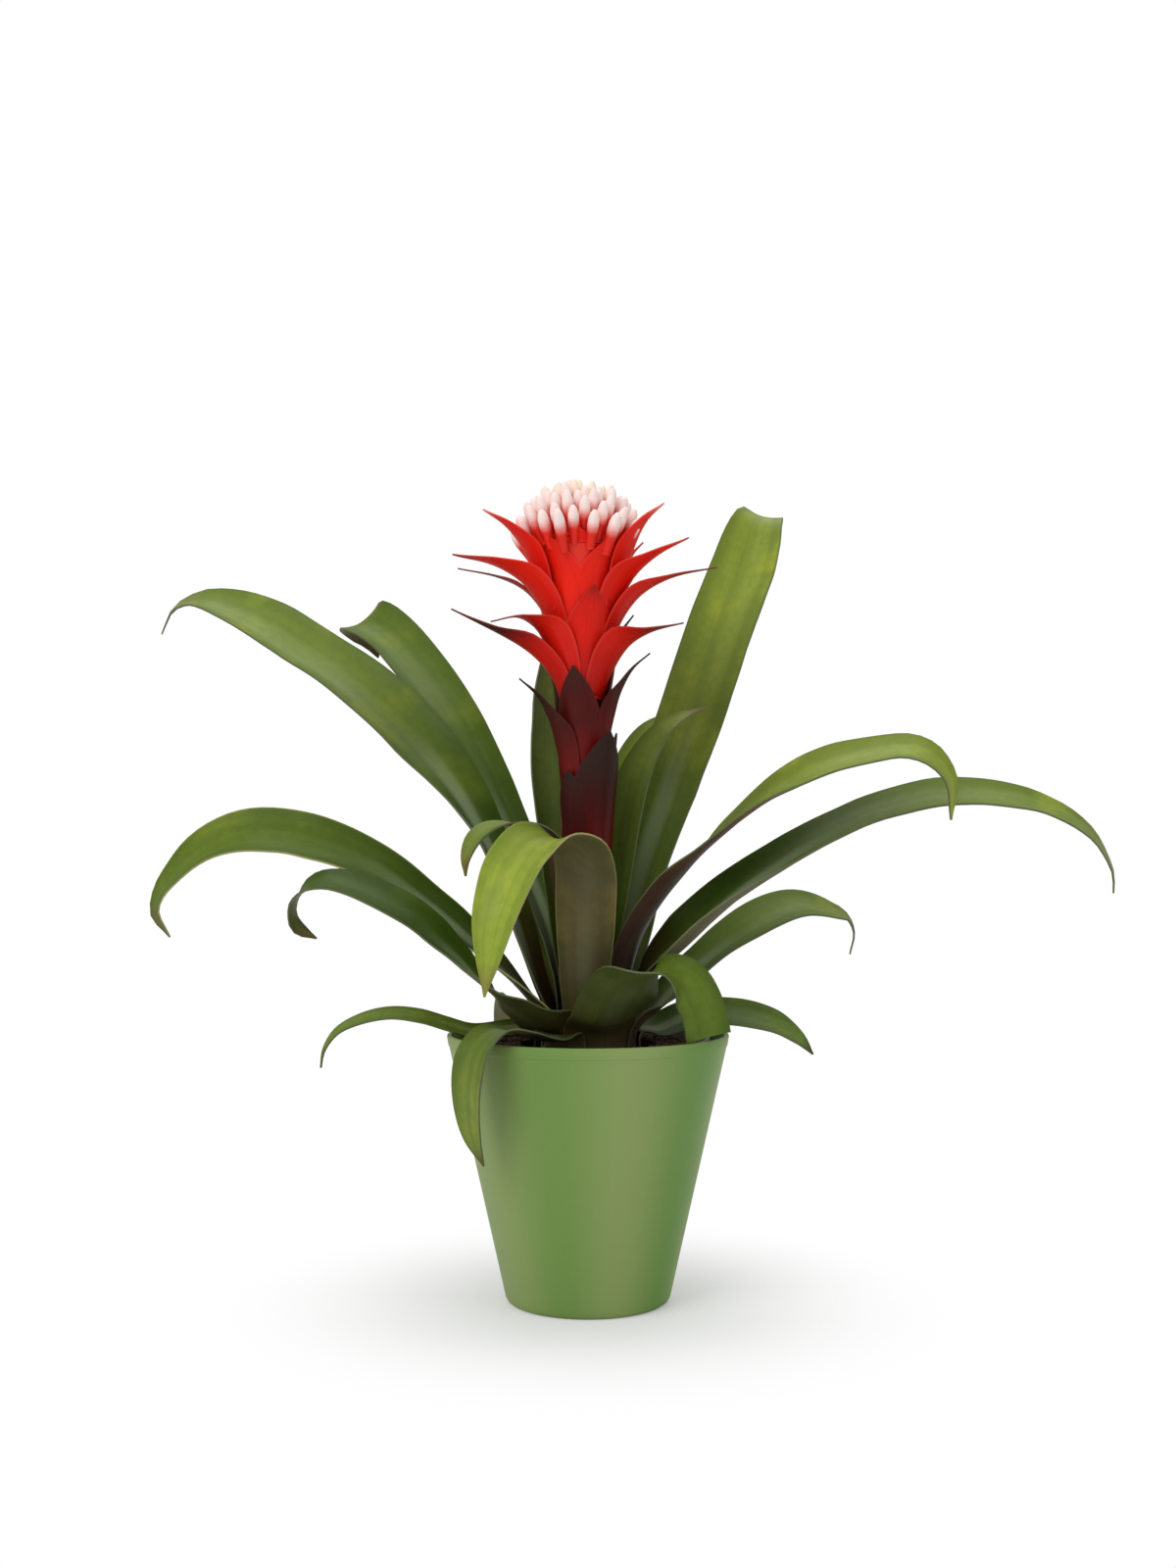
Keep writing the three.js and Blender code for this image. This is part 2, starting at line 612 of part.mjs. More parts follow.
const plant = new THREE.Group();
plant.add(part("cachepot", greenPot(), greenPlastic));
plant.add(part("nursery_pot", nurseryPot(), taupePlastic));
plant.add(part("soil", soil(), material(COLOURS.soil, 0.95)));
plant.add(part("crown", crown(), material(COLOURS.crown, 0.7)));
for (const [name, shape] of Object.entries(LEAVES)) {
  const skin = name === "leaf_front_centre" ? paleLeafSkin : leafSkin;
  plant.add(part(name, leaf(shape), skin));
}
const scape = stalk(redHead(TOUCH_GAP));
const redBracts = redHead(0).subtract(floretDome(TOUCH_GAP));
plant.add(part("scape", geometryOf(scape), material(COLOURS.maroon, 0.5)));
plant.add(part("red_bracts", geometryOf(redBracts), material(COLOURS.red, 0.45)));
plant.add(part("floret_dome", geometryOf(floretDome(0)), material(COLOURS.white, 0.5)));

export default plant;
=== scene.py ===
# A guzmania bromeliad in its nursery pot, standing in a green conical outer pot.
# Metres, +Z up, the front of the plant towards -Y, the origin under the middle of the outer pot.
import math
import random

import bmesh
import bpy
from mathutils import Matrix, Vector


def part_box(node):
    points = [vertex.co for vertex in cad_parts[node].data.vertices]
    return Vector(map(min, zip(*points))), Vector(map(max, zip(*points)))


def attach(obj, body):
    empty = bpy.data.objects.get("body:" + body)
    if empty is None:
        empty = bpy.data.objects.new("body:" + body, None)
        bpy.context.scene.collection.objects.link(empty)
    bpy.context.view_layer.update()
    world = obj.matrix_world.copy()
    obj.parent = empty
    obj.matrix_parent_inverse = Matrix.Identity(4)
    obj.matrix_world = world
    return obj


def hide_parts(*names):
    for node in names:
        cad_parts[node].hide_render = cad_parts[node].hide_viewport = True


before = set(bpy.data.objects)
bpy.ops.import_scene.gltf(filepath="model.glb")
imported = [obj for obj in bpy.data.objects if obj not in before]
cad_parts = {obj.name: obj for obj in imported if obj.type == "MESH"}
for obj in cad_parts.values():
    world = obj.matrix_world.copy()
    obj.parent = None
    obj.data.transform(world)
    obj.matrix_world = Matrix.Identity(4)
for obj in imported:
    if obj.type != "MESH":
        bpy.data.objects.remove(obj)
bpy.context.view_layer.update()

MM = 0.001

# Sizes of the pots and of what they hold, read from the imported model
POT_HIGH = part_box("cachepot")[1]
POT_RIM_RADIUS = POT_HIGH.x
POT_HEIGHT = POT_HIGH.z
NURSERY_LOW, NURSERY_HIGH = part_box("nursery_pot")
SOIL_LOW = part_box("soil")[0]
CROWN_LOW, CROWN_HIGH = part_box("crown")

# The height in millimetres at which the sheaths and the stalk stand on the crown, just clear of it
SEAT_GAP = 0.3
SEAT_HEIGHT = CROWN_HIGH.z / MM + SEAT_GAP

# Driving sizes of the leaves, in millimetres as a grower would measure them, or in shares of a length
LEAF_THICKNESS = 0.9
FIRST_RING_RADIUS = 13
RING_STEP = 2.5
SHEATH_HEIGHT = 12
SHEATH_SPREAD = 0.68
SHEATH_OPENS = 60
SHEATH_FULLNESS = 1.12
SHEATH_NARROWS = 0.3
SHEATH_UNROLLS = 0.4
BLADE_CURL_RADIUS = 34
LEAF_WAIST = 0.85
WAIST_START = 0.2
WAIST_END = 0.6
TIP_HALF_WIDTH = 0.4
FOOT_TURN = 0.4
LEAF_ROWS = 60
LEAF_COLUMNS = 12
RIPPLE_HEIGHT = 1.8
RIPPLE_SIZE = 30

# Driving sizes of the flower stalk and its head, in millimetres or in shares of a length
STALK_RADIUS = 9
STALK_TOP_RADIUS = 12
STALK_WIDENS_FROM = 205
STALK_WIDENS_TO = 240
STALK_TOP = 317
HEAD_BOTTOM = 318
HEAD_TOP = 399
HEAD_LEAN = 0.03
LEAN_START = 220
CORE_BOTTOM_RADIUS = 11.5
CORE_TOP_RADIUS = 24
CORE_RINGS = 12
ROUND_SIDES = 32
BRACT_THICKNESS = 0.8
BRACT_BELLY = 0.45
BRACT_ROOT_DEPTH = 1.5
BRACT_STANDS_OFF = 2.5
BRACT_FLARE = 2.6
BRACT_ROOT_SHARE = 0.8
BRACT_EARLY_RISE = 1.25
BRACT_DRAWN_OUT = 1.8
BRACT_TIP_HALF_WIDTH = 0.25
BRACT_HUGS = 1
BRACT_UNROLLS = 2
BRACT_STOPS = 6
BOW_SCALE = 27 / 4
BRACT_ROWS = 20
BRACT_COLUMNS = 10
GOLDEN_ANGLE = math.pi * (3 - math.sqrt(5))

# The loose crumbs on the potting mix
CRUMBS = 260
CRUMB_RADIUS = 0.0017
CRUMB_SEED = 11

# The painted reflections and painted shade round the pots, as soft pale and dark vertical bands: how many
# there are, and the directions in degrees of one pale band and of the deepest painted shade
PAINTED_BAND_COUNT = 5
PAINTED_BAND_TURN = 72
PAINTED_SHADE_TURN = 40


# Small helpers for shaping

def smooth(x):
    """An ease from 0 to 1."""
    x = min(1.0, max(0.0, x))
    return x * x * (3 - 2 * x)


def blend(a, b, share):
    return a + (b - a) * share


def between(stops, u):
    """A value that runs smoothly through evenly spaced stops from u = 0 to u = 1."""
    place = u * (len(stops) - 1)
    i = min(int(place), len(stops) - 2)
    return blend(stops[i], stops[i + 1], smooth(place - i))


def compass(degrees):
    """A level direction, counted from +X towards +Y."""
    return Vector((math.cos(math.radians(degrees)), math.sin(math.radians(degrees)), 0))


def in_metres(outline):
    """Pairs of radius and height, from millimetres."""
    return [(radius * MM, height * MM) for radius, height in outline]


def deselect_all():
    bpy.ops.object.select_all(action="DESELECT")


def make_active(piece):
    deselect_all()
    piece.select_set(True)
    bpy.context.view_layer.objects.active = piece


def into_edit(piece, kind="VERT"):
    """Opens a piece in edit mode with nothing selected, and returns its edit mesh."""
    make_active(piece)
    bpy.ops.object.mode_set(mode="EDIT")
    bpy.ops.mesh.select_mode(type=kind)
    bpy.ops.mesh.select_all(action="DESELECT")
    return bmesh.from_edit_mesh(piece.data)


def leave_edit():
    bpy.ops.object.mode_set(mode="OBJECT")


def add_modifier(piece, kind, **settings):
    """Adds a modifier with its settings and applies it at once."""
    make_active(piece)
    modifier = piece.modifiers.new(kind.lower(), kind)
    for key, value in settings.items():
        setattr(modifier, key, value)
    bpy.ops.object.modifier_apply(modifier=modifier.name)


def copy_of(piece, name):
    """A copy with a mesh of its own."""
    copy = piece.copy()
    copy.data = piece.data.copy()
    copy.name = name
    copy.data.name = name
    bpy.context.scene.collection.objects.link(copy)
    return copy


def joined(name, pieces):
    """Several pieces as one object."""
    deselect_all()
    for piece in pieces:
        piece.select_set(True)
    bpy.context.view_layer.objects.active = pieces[0]
    bpy.ops.object.join()
    pieces[0].name = name
    pieces[0].data.name = name
    return pieces[0]


def smooth_shaded(piece, degrees=40):
    make_active(piece)
    bpy.ops.object.shade_smooth_by_angle(angle=math.radians(degrees))


def rides_for(piece, node):
    """The piece stands for a node of the plant: it hangs from the root body, and the node's own part is
    hidden.
    """
    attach(piece, "root")
    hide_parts(node)


def give_materials(piece, *materials):
    piece.data.materials.clear()
    for material in materials:
        piece.data.materials.append(material)


# Helpers for the materials

def colour(code):
    """A linear colour from a screen colour such as 7c9155."""
    channels = []
    for i in (0, 2, 4):
        value = int(code[i:i + 2], 16) / 255
        channels.append(value / 12.92 if value <= 0.04045 else ((value + 0.055) / 1.055) ** 2.4)
    return (*channels, 1.0)


def feed(tree, socket, value):
    """Puts a link or a plain value on a socket."""
    if isinstance(value, bpy.types.NodeSocket):
        tree.links.new(value, socket)
    else:
        socket.default_value = value


def maths(tree, operation, *values):
    node = tree.nodes.new("ShaderNodeMath")
    node.operation = operation
    for socket, value in zip(node.inputs, values):
        feed(tree, socket, value)
    return node.outputs[0]


def eased(tree, value, low, high, to_low=0.0, to_high=1.0):
    """A smooth step of a value from low to high."""
    node = tree.nodes.new("ShaderNodeMapRange")
    node.interpolation_type = "SMOOTHSTEP"
    for name, each in (("Value", value), ("From Min", low), ("From Max", high),
                       ("To Min", to_low), ("To Max", to_high)):
        feed(tree, node.inputs[name], each)
    return node.outputs["Result"]


def mixed(tree, share, first, second, way="MIX"):
    node = tree.nodes.new("ShaderNodeMix")
    node.data_type = "RGBA"
    node.blend_type = way
    feed(tree, node.inputs[0], share)
    feed(tree, node.inputs[6], first)
    feed(tree, node.inputs[7], second)
    return node.outputs[2]


def noise(tree, vector, scale, detail=2.0, roughness=0.5):
    node = tree.nodes.new("ShaderNodeTexNoise")
    feed(tree, node.inputs["Vector"], vector)
    feed(tree, node.inputs["Scale"], scale)
    node.inputs["Detail"].default_value = detail
    node.inputs["Roughness"].default_value = roughness
    return node.outputs["Fac"]


def vector_of(tree, x, y, z):
    node = tree.nodes.new("ShaderNodeCombineXYZ")
    for socket, value in zip(node.inputs, (x, y, z)):
        feed(tree, socket, value)
    return node.outputs[0]


def parts_of(tree, vector):
    node = tree.nodes.new("ShaderNodeSeparateXYZ")
    feed(tree, node.inputs[0], vector)
    return node.outputs


def new_group(name, takes, gives):
    """An empty shader group with named sockets, and its input and output nodes."""
    group = bpy.data.node_groups.new(name, "ShaderNodeTree")
    for label, kind, value in takes:
        socket = group.interface.new_socket(label, in_out="INPUT", socket_type="NodeSocket" + kind)
        if value is not None:
            socket.default_value = value
    for label, kind in gives:
        group.interface.new_socket(label, in_out="OUTPUT", socket_type="NodeSocket" + kind)
    return group, group.nodes.new("NodeGroupInput").outputs, group.nodes.new("NodeGroupOutput").inputs


def placed(tree, group, **values):
    """A group placed in a material, fed by the names of its inputs."""
    node = tree.nodes.new("ShaderNodeGroup")
    node.node_tree = group
    for label, value in values.items():
        feed(tree, node.inputs[label.replace("_", " ")], value)
    return node.outputs


def new_material(name, **shader):
    """A material with its Principled shader's plain values, as (material, tree, shader node)."""
    material = bpy.data.materials.new(name)
    material.use_nodes = True
    tree = material.node_tree
    principled = tree.nodes["Principled BSDF"]
    for label, value in shader.items():
        principled.inputs[label.replace("_", " ")].default_value = value
    return material, tree, principled


def texture_place(tree, kind):
    return tree.nodes.new("ShaderNodeTexCoord").outputs[kind]


def attribute_of(tree, name):
    """A value stored on the mesh."""
    node = tree.nodes.new("ShaderNodeAttribute")
    node.attribute_name = name
    return node.outputs["Fac"]


def bumped(tree, height, strength, distance):
    node = tree.nodes.new("ShaderNodeBump")
    node.inputs["Strength"].default_value = strength
    node.inputs["Distance"].default_value = distance
    feed(tree, node.inputs["Height"], height)
    return node.outputs["Normal"]


# Shared shader groups

def make_blade_tint():
    """Four colours along a blade: at its root, low on it, high on it and at its tip."""
    group, take, give = new_group(
        "blade_tint",
        [("Along", "Float", 0.0), ("Root", "Color", None), ("Lower", "Color", None),
         ("Upper", "Color", None), ("Tip", "Color", None), ("Tip Start", "Float", 0.95)],
        [("Color", "Color")],
    )
    along = take["Along"]
    low = mixed(group, eased(group, along, 0.04, 0.3), take["Root"], take["Lower"])
    high = mixed(group, eased(group, along, 0.3, 0.8), low, take["Upper"])
    feed(group, give["Color"], mixed(group, eased(group, along, take["Tip Start"], 1.0), high, take["Tip"]))
    return group


def make_long_veins():
    """Fine parallel veins and broad pale and dark streaks that run along a blade."""
    group, take, give = new_group(
        "long_veins",
        [("UV", "Vector", None), ("Count", "Float", 46.0), ("Seed", "Float", 0.0)],
        [("Veins", "Float"), ("Streaks", "Float")],
    )
    along, across, _ = parts_of(group, take["UV"])
    fine = vector_of(group, maths(group, "MULTIPLY", along, 3.0),
                     maths(group, "MULTIPLY", across, take["Count"]), take["Seed"])
    broad = vector_of(group, maths(group, "MULTIPLY", along, 1.3),
                      maths(group, "MULTIPLY", across, 4.5), take["Seed"])
    feed(group, give["Veins"], noise(group, fine, 1.0, 2.0, 0.55))
    feed(group, give["Streaks"], noise(group, broad, 1.0, 1.0, 0.4))
    return group


def make_edge_line():
    """Two masks that are 1 along both long edges of a blade: a thin line and a broad shade."""
    group, take, give = new_group(
        "edge_line",
        [("UV", "Vector", None), ("Width", "Float", 0.06), ("Broad", "Float", 0.75)],
        [("Edge", "Float"), ("Broad", "Float")],
    )
    across = parts_of(group, take["UV"])[1]
    out = maths(group, "MULTIPLY", maths(group, "ABSOLUTE", maths(group, "SUBTRACT", across, 0.5)), 2.0)
    thin = maths(group, "SUBTRACT", 1.0, take["Width"])
    feed(group, give["Edge"], eased(group, out, thin, 1.0))
    wide = maths(group, "SUBTRACT", 1.0, take["Broad"])
    feed(group, give["Broad"], eased(group, out, wide, 1.0))
    return group


def make_mottle():
    """Soft blotches and small specks that stay still on the plant."""
    group, take, give = new_group(
        "mottle",
        [("Place", "Vector", None), ("Blotch Scale", "Float", 28.0), ("Speck Scale", "Float", 900.0)],
        [("Blotch", "Float"), ("Speck", "Float")],
    )
    feed(group, give["Blotch"], noise(group, take["Place"], take["Blotch Scale"], 3.0, 0.5))
    speck = noise(group, take["Place"], take["Speck Scale"], 1.0, 0.5)
    feed(group, give["Speck"], eased(group, speck, 0.72, 0.8))
    return group


BLADE_TINT = make_blade_tint()
LONG_VEINS = make_long_veins()
EDGE_LINE = make_edge_line()
MOTTLE = make_mottle()


def leaf_skin(name, tones, edge_tone, seed, gloss=0.38, painted_sheen=0.4):
    """Waxy leaf skin: a root to tip gradient, a paler middle, blotches, a fine grain, streaks and veins, a
    painted highlight as a pale streak low down the middle of the blade, and an edge line."""
    root, lower, upper, tip = (colour(code) for code in tones)
    material, tree, shader = new_material(name, Specular_IOR_Level=0.14, Coat_Weight=0.02,
                                          Coat_Roughness=0.3)
    uv = texture_place(tree, "UV")
    along = parts_of(tree, uv)[0]
    tint = placed(tree, BLADE_TINT, Along=along, Root=root, Lower=lower, Upper=upper, Tip=tip,
                  Tip_Start=0.9)["Color"]
    lines = placed(tree, LONG_VEINS, UV=uv, Count=40.0, Seed=float(seed))
    spots = placed(tree, MOTTLE, Place=texture_place(tree, "Object"), Blotch_Scale=24.0)
    edge = placed(tree, EDGE_LINE, UV=uv, Width=0.06, Broad=0.75)
    dark = mixed(tree, 1.0, tint, (0.52, 0.6, 0.5, 1.0), "MULTIPLY")
    pale = mixed(tree, 1.0, tint, (1.6, 1.4, 0.95, 1.0), "MULTIPLY")
    middled = mixed(tree, eased(tree, edge["Broad"], 0.0, 1.0, 0.0, 0.5), tint, dark)
    patched = mixed(tree, eased(tree, spots["Blotch"], 0.48, 0.72, 0.0, 0.75), middled, pale)
    grain = placed(tree, MOTTLE, Place=texture_place(tree, "Object"), Blotch_Scale=210.0)["Blotch"]
    blotched = mixed(tree, eased(tree, grain, 0.42, 0.68, 0.0, 0.24), patched, dark)
    streaked = mixed(tree, eased(tree, lines["Streaks"], 0.42, 0.72, 0.0, 0.38), blotched, dark)
    veined = mixed(tree, eased(tree, lines["Veins"], 0.42, 0.7, 0.0, 0.22), streaked, dark)
    # Painted highlight: a pale streak down the middle of the blade, low on it, standing in for the shine of
    # the glossy channel
    highlight_span = maths(tree, "MULTIPLY", eased(tree, along, 0.06, 0.2), eased(tree, along, 0.3, 0.55, 1.0, 0.0))
    middle = placed(tree, EDGE_LINE, UV=uv, Broad=1.0)["Broad"]
    highlight_streak = maths(tree, "MULTIPLY", highlight_span, eased(tree, middle, 0.0, 0.35, painted_sheen, 0.0))
    painted_highlight = mixed(tree, highlight_streak, veined, colour("a4b48c"))
    rim = mixed(tree, eased(tree, along, 0.1, 0.35), colour("8a8458"), colour(edge_tone))
    lined = mixed(tree, maths(tree, "MULTIPLY", edge["Edge"], 0.4), painted_highlight, rim)
    feed(tree, shader.inputs["Base Color"], lined)
    feed(tree, shader.inputs["Roughness"], eased(tree, spots["Blotch"], 0.3, 0.7, gloss, gloss + 0.1))
    height = maths(tree, "ADD", lines["Veins"], maths(tree, "MULTIPLY", spots["Blotch"], 0.8))
    feed(tree, shader.inputs["Normal"], bumped(tree, height, 0.1, 0.0004))
    return material


def leaf_margin(name, tone, shade):
    """The thin rim of a leaf."""
    material, tree, shader = new_material(name, Roughness=0.5)
    blotch = placed(tree, MOTTLE, Place=texture_place(tree, "Object"), Blotch_Scale=90.0)["Blotch"]
    feed(tree, shader.inputs["Base Color"], mixed(tree, blotch, colour(tone), colour(shade)))
    return material


def bract_skin(name, root, body, tip, pale_tip, edge_tone):
    """A bract with painted edge highlights. Attributes of the mesh tell how far its tip colour reaches, how
    pale it is and the tone.
    """
    material, tree, shader = new_material(name, Specular_IOR_Level=0.15, Coat_Weight=0.03,
                                          Coat_Roughness=0.25)
    uv = texture_place(tree, "UV")
    along = parts_of(tree, uv)[0]
    reach, pale, tone = (attribute_of(tree, label) for label in ("tip_reach", "tip_pale", "tone"))
    lines = placed(tree, LONG_VEINS, UV=uv, Count=24.0, Seed=maths(tree, "MULTIPLY", tone, 40.0))
    spots = placed(tree, MOTTLE, Place=texture_place(tree, "Object"), Blotch_Scale=60.0)
    grown = mixed(tree, eased(tree, along, 0.0, 0.6), colour(root), colour(body))
    deep = mixed(tree, 1.0, grown, (0.55, 0.4, 0.4, 1.0), "MULTIPLY")
    toned = mixed(tree, tone, grown, deep)
    veined = mixed(tree, eased(tree, lines["Veins"], 0.45, 0.75, 0.0, 0.35), toned, deep)
    blotched = mixed(tree, eased(tree, spots["Blotch"], 0.5, 0.75, 0.0, 0.3), veined, deep)
    start = maths(tree, "SUBTRACT", 1.0, reach)
    wobbly = maths(tree, "ADD", along, maths(tree, "MULTIPLY", lines["Veins"], 0.12))
    tip_tone = mixed(tree, pale, colour(tip), colour(pale_tip))
    tipped = mixed(tree, eased(tree, wobbly, start, maths(tree, "ADD", start, 0.4)), blotched, tip_tone)
    # Painted highlight: a thin pale line along both long edges, in edge_tone
    edge = placed(tree, EDGE_LINE, UV=uv, Width=0.1)["Edge"]
    feed(tree, shader.inputs["Base Color"],
         mixed(tree, maths(tree, "MULTIPLY", edge, 0.12), tipped, colour(edge_tone)))
    feed(tree, shader.inputs["Roughness"], eased(tree, spots["Blotch"], 0.3, 0.7, 0.36, 0.5))
    height = maths(tree, "ADD", lines["Veins"], lines["Streaks"])
    feed(tree, shader.inputs["Normal"], bumped(tree, height, 0.3, 0.0006))
    return material


def floret_skin():
    """A floret: a red tube below, fading over a blush to a white waxy tip."""
    material, tree, shader = new_material("floret_skin", Specular_IOR_Level=0.25)
    place = texture_place(tree, "Object")
    spots = placed(tree, MOTTLE, Place=place, Blotch_Scale=220.0)
    along = maths(tree, "ADD", attribute_of(tree, "grown"), maths(tree, "MULTIPLY", spots["Blotch"], 0.12))
    white = mixed(tree, attribute_of(tree, "cream"), colour("fee8e2"), colour("fff0d0"))
    blush = mixed(tree, eased(tree, along, 0.46, 0.7), colour("e8281a"), colour("f6aaa0"))
    tipped = mixed(tree, eased(tree, along, 0.6, 0.84), blush, white)
    feed(tree, shader.inputs["Base Color"], tipped)
    shader.inputs["Roughness"].default_value = 0.42
    feed(tree, shader.inputs["Normal"], bumped(tree, spots["Blotch"], 0.2, 0.0004))
    return material


def pot_plastic(name, tone, shade, gloss, grain):
    """Moulded plastic: soft vertical bands of painted reflection and painted shade, darkest towards one
    side, a fine grain and light scuffs.
    """
    material, tree, shader = new_material(name, Specular_IOR_Level=0.25, Coat_Weight=0.04,
                                          Coat_Roughness=0.35)
    place = texture_place(tree, "Object")
    x, y, _ = parts_of(tree, place)
    # Painted reflection and shade: pale and dark bands round the pot, with the painted shade deepest towards
    # one side
    turn = maths(tree, "ARCTAN2", y, x)
    band_phase = maths(tree, "MULTIPLY_ADD", turn, float(PAINTED_BAND_COUNT), math.radians(PAINTED_BAND_COUNT * PAINTED_BAND_TURN))
    painted_bands = maths(tree, "COSINE", band_phase)
    depth = maths(tree, "COSINE", maths(tree, "ADD", turn, math.radians(PAINTED_SHADE_TURN)))
    painted_shade = maths(tree, "MULTIPLY", maths(tree, "MULTIPLY_ADD", painted_bands, -0.5, 0.5),
                 maths(tree, "MULTIPLY_ADD", depth, 0.45, 0.55))
    spots = placed(tree, MOTTLE, Place=place, Blotch_Scale=14.0, Speck_Scale=1500.0)
    painted_band_colour = mixed(tree, painted_shade, colour(tone), colour(shade))
    specked = mixed(tree, maths(tree, "MULTIPLY", spots["Speck"], 0.12), painted_band_colour, colour("e4e8d4"))
    feed(tree, shader.inputs["Base Color"], specked)
    feed(tree, shader.inputs["Roughness"], eased(tree, spots["Blotch"], 0.3, 0.7, gloss, gloss + 0.08))
    fine = noise(tree, place, 1600.0, 1.0, 0.5)
    feed(tree, shader.inputs["Normal"], bumped(tree, fine, grain, 0.0001))
    return material


def peat():
    """Dark fibrous potting mix."""
    material, tree, shader = new_material("peat", Roughness=0.92, Specular_IOR_Level=0.2)
    place = texture_place(tree, "Object")
    coarse = noise(tree, place, 320.0, 5.0, 0.65)
    fine = noise(tree, place, 1400.0, 3.0, 0.6)
    dark = mixed(tree, eased(tree, coarse, 0.35, 0.65), colour("21160e"), colour("5a4330"))
    fibres = mixed(tree, eased(tree, fine, 0.6, 0.75), dark, colour("8a7355"))
    feed(tree, shader.inputs["Base Color"], fibres)
    feed(tree, shader.inputs["Normal"], bumped(tree, coarse, 0.8, 0.0015))
    return material


def crown_fibre():
    """The short stem, ringed with the scars of old leaves."""
    material, tree, shader = new_material("crown_fibre", Roughness=0.7)
    place = texture_place(tree, "Object")
    x, y, z = parts_of(tree, place)
    rings = noise(tree, vector_of(tree, maths(tree, "MULTIPLY", x, 30.0), maths(tree, "MULTIPLY", y, 30.0),
                                  maths(tree, "MULTIPLY", z, 500.0)), 1.0, 3.0, 0.6)
    feed(tree, shader.inputs["Base Color"], mixed(tree, rings, colour("3b2a1c"), colour("746541")))
    feed(tree, shader.inputs["Normal"], bumped(tree, rings, 0.6, 0.001))
    return material


# The tones of the leaves' upper faces and undersides: at the root, low and high on the blade, and at the tip
TONES = {
    "fresh": ("5f5a2c", "545e26", "93a53a", "8a8440"),
    "bright": ("54542a", "566624", "869636", "98a042"),
    "lit": ("4a2a1e", "3a5010", "788a36", "94905a"),
    "middle": ("4a4822", "5a6e26", "728438", "6a5a30"),
    "deep": ("463020", "3f5612", "607420", "5c5428"),
    "dim": ("40381a", "38500e", "40580e", "4c5c1c"),
    "cut": ("40381a", "465c18", "607422", "5a7020"),
    "dark": ("3a3818", "4a641c", "70883a", "4a4424"),
    "purple_under": ("503830", "5a4038", "6a5640", "4a3a28"),
    "olive_under": ("625a38", "645c3c", "726c46", "4a3e26"),
    "dusky_under": ("504028", "525a2c", "566430", "4a3e26"),
    "green_under": ("464424", "5c662c", "707c34", "564c2a"),
    "brown_under": ("5a5430", "505428", "646c34", "564c2a"),
}

# What sets single leaves apart: a pale margin, the radii of the channel low and high on the blade, the
# waist's width as a share of the blade's, and how far round the crown the sheath reaches
PALE_EDGED = ("leaf_front_centre", "leaf_left_long")
BENT_CHANNELS = {"leaf_right_long": (20, 40)}
WAISTS = {"leaf_right_long": 1.2, "leaf_right_second": 0.72, "leaf_front_left_hanging": 1.15}
WIDE_SHEATHS = {"leaf_front_right_folded": 0.9, "leaf_left_lower": 0.85}

# The leaf whose end is cut straight: how much it narrows towards the cut, from which share of its length,
# and over how long a share
CUT_LEAF = "leaf_front_right_folded"
CUT_NARROWS = 0.38
CUT_NARROWS_FROM = 0.5
CUT_NARROWS_OVER = 0.25

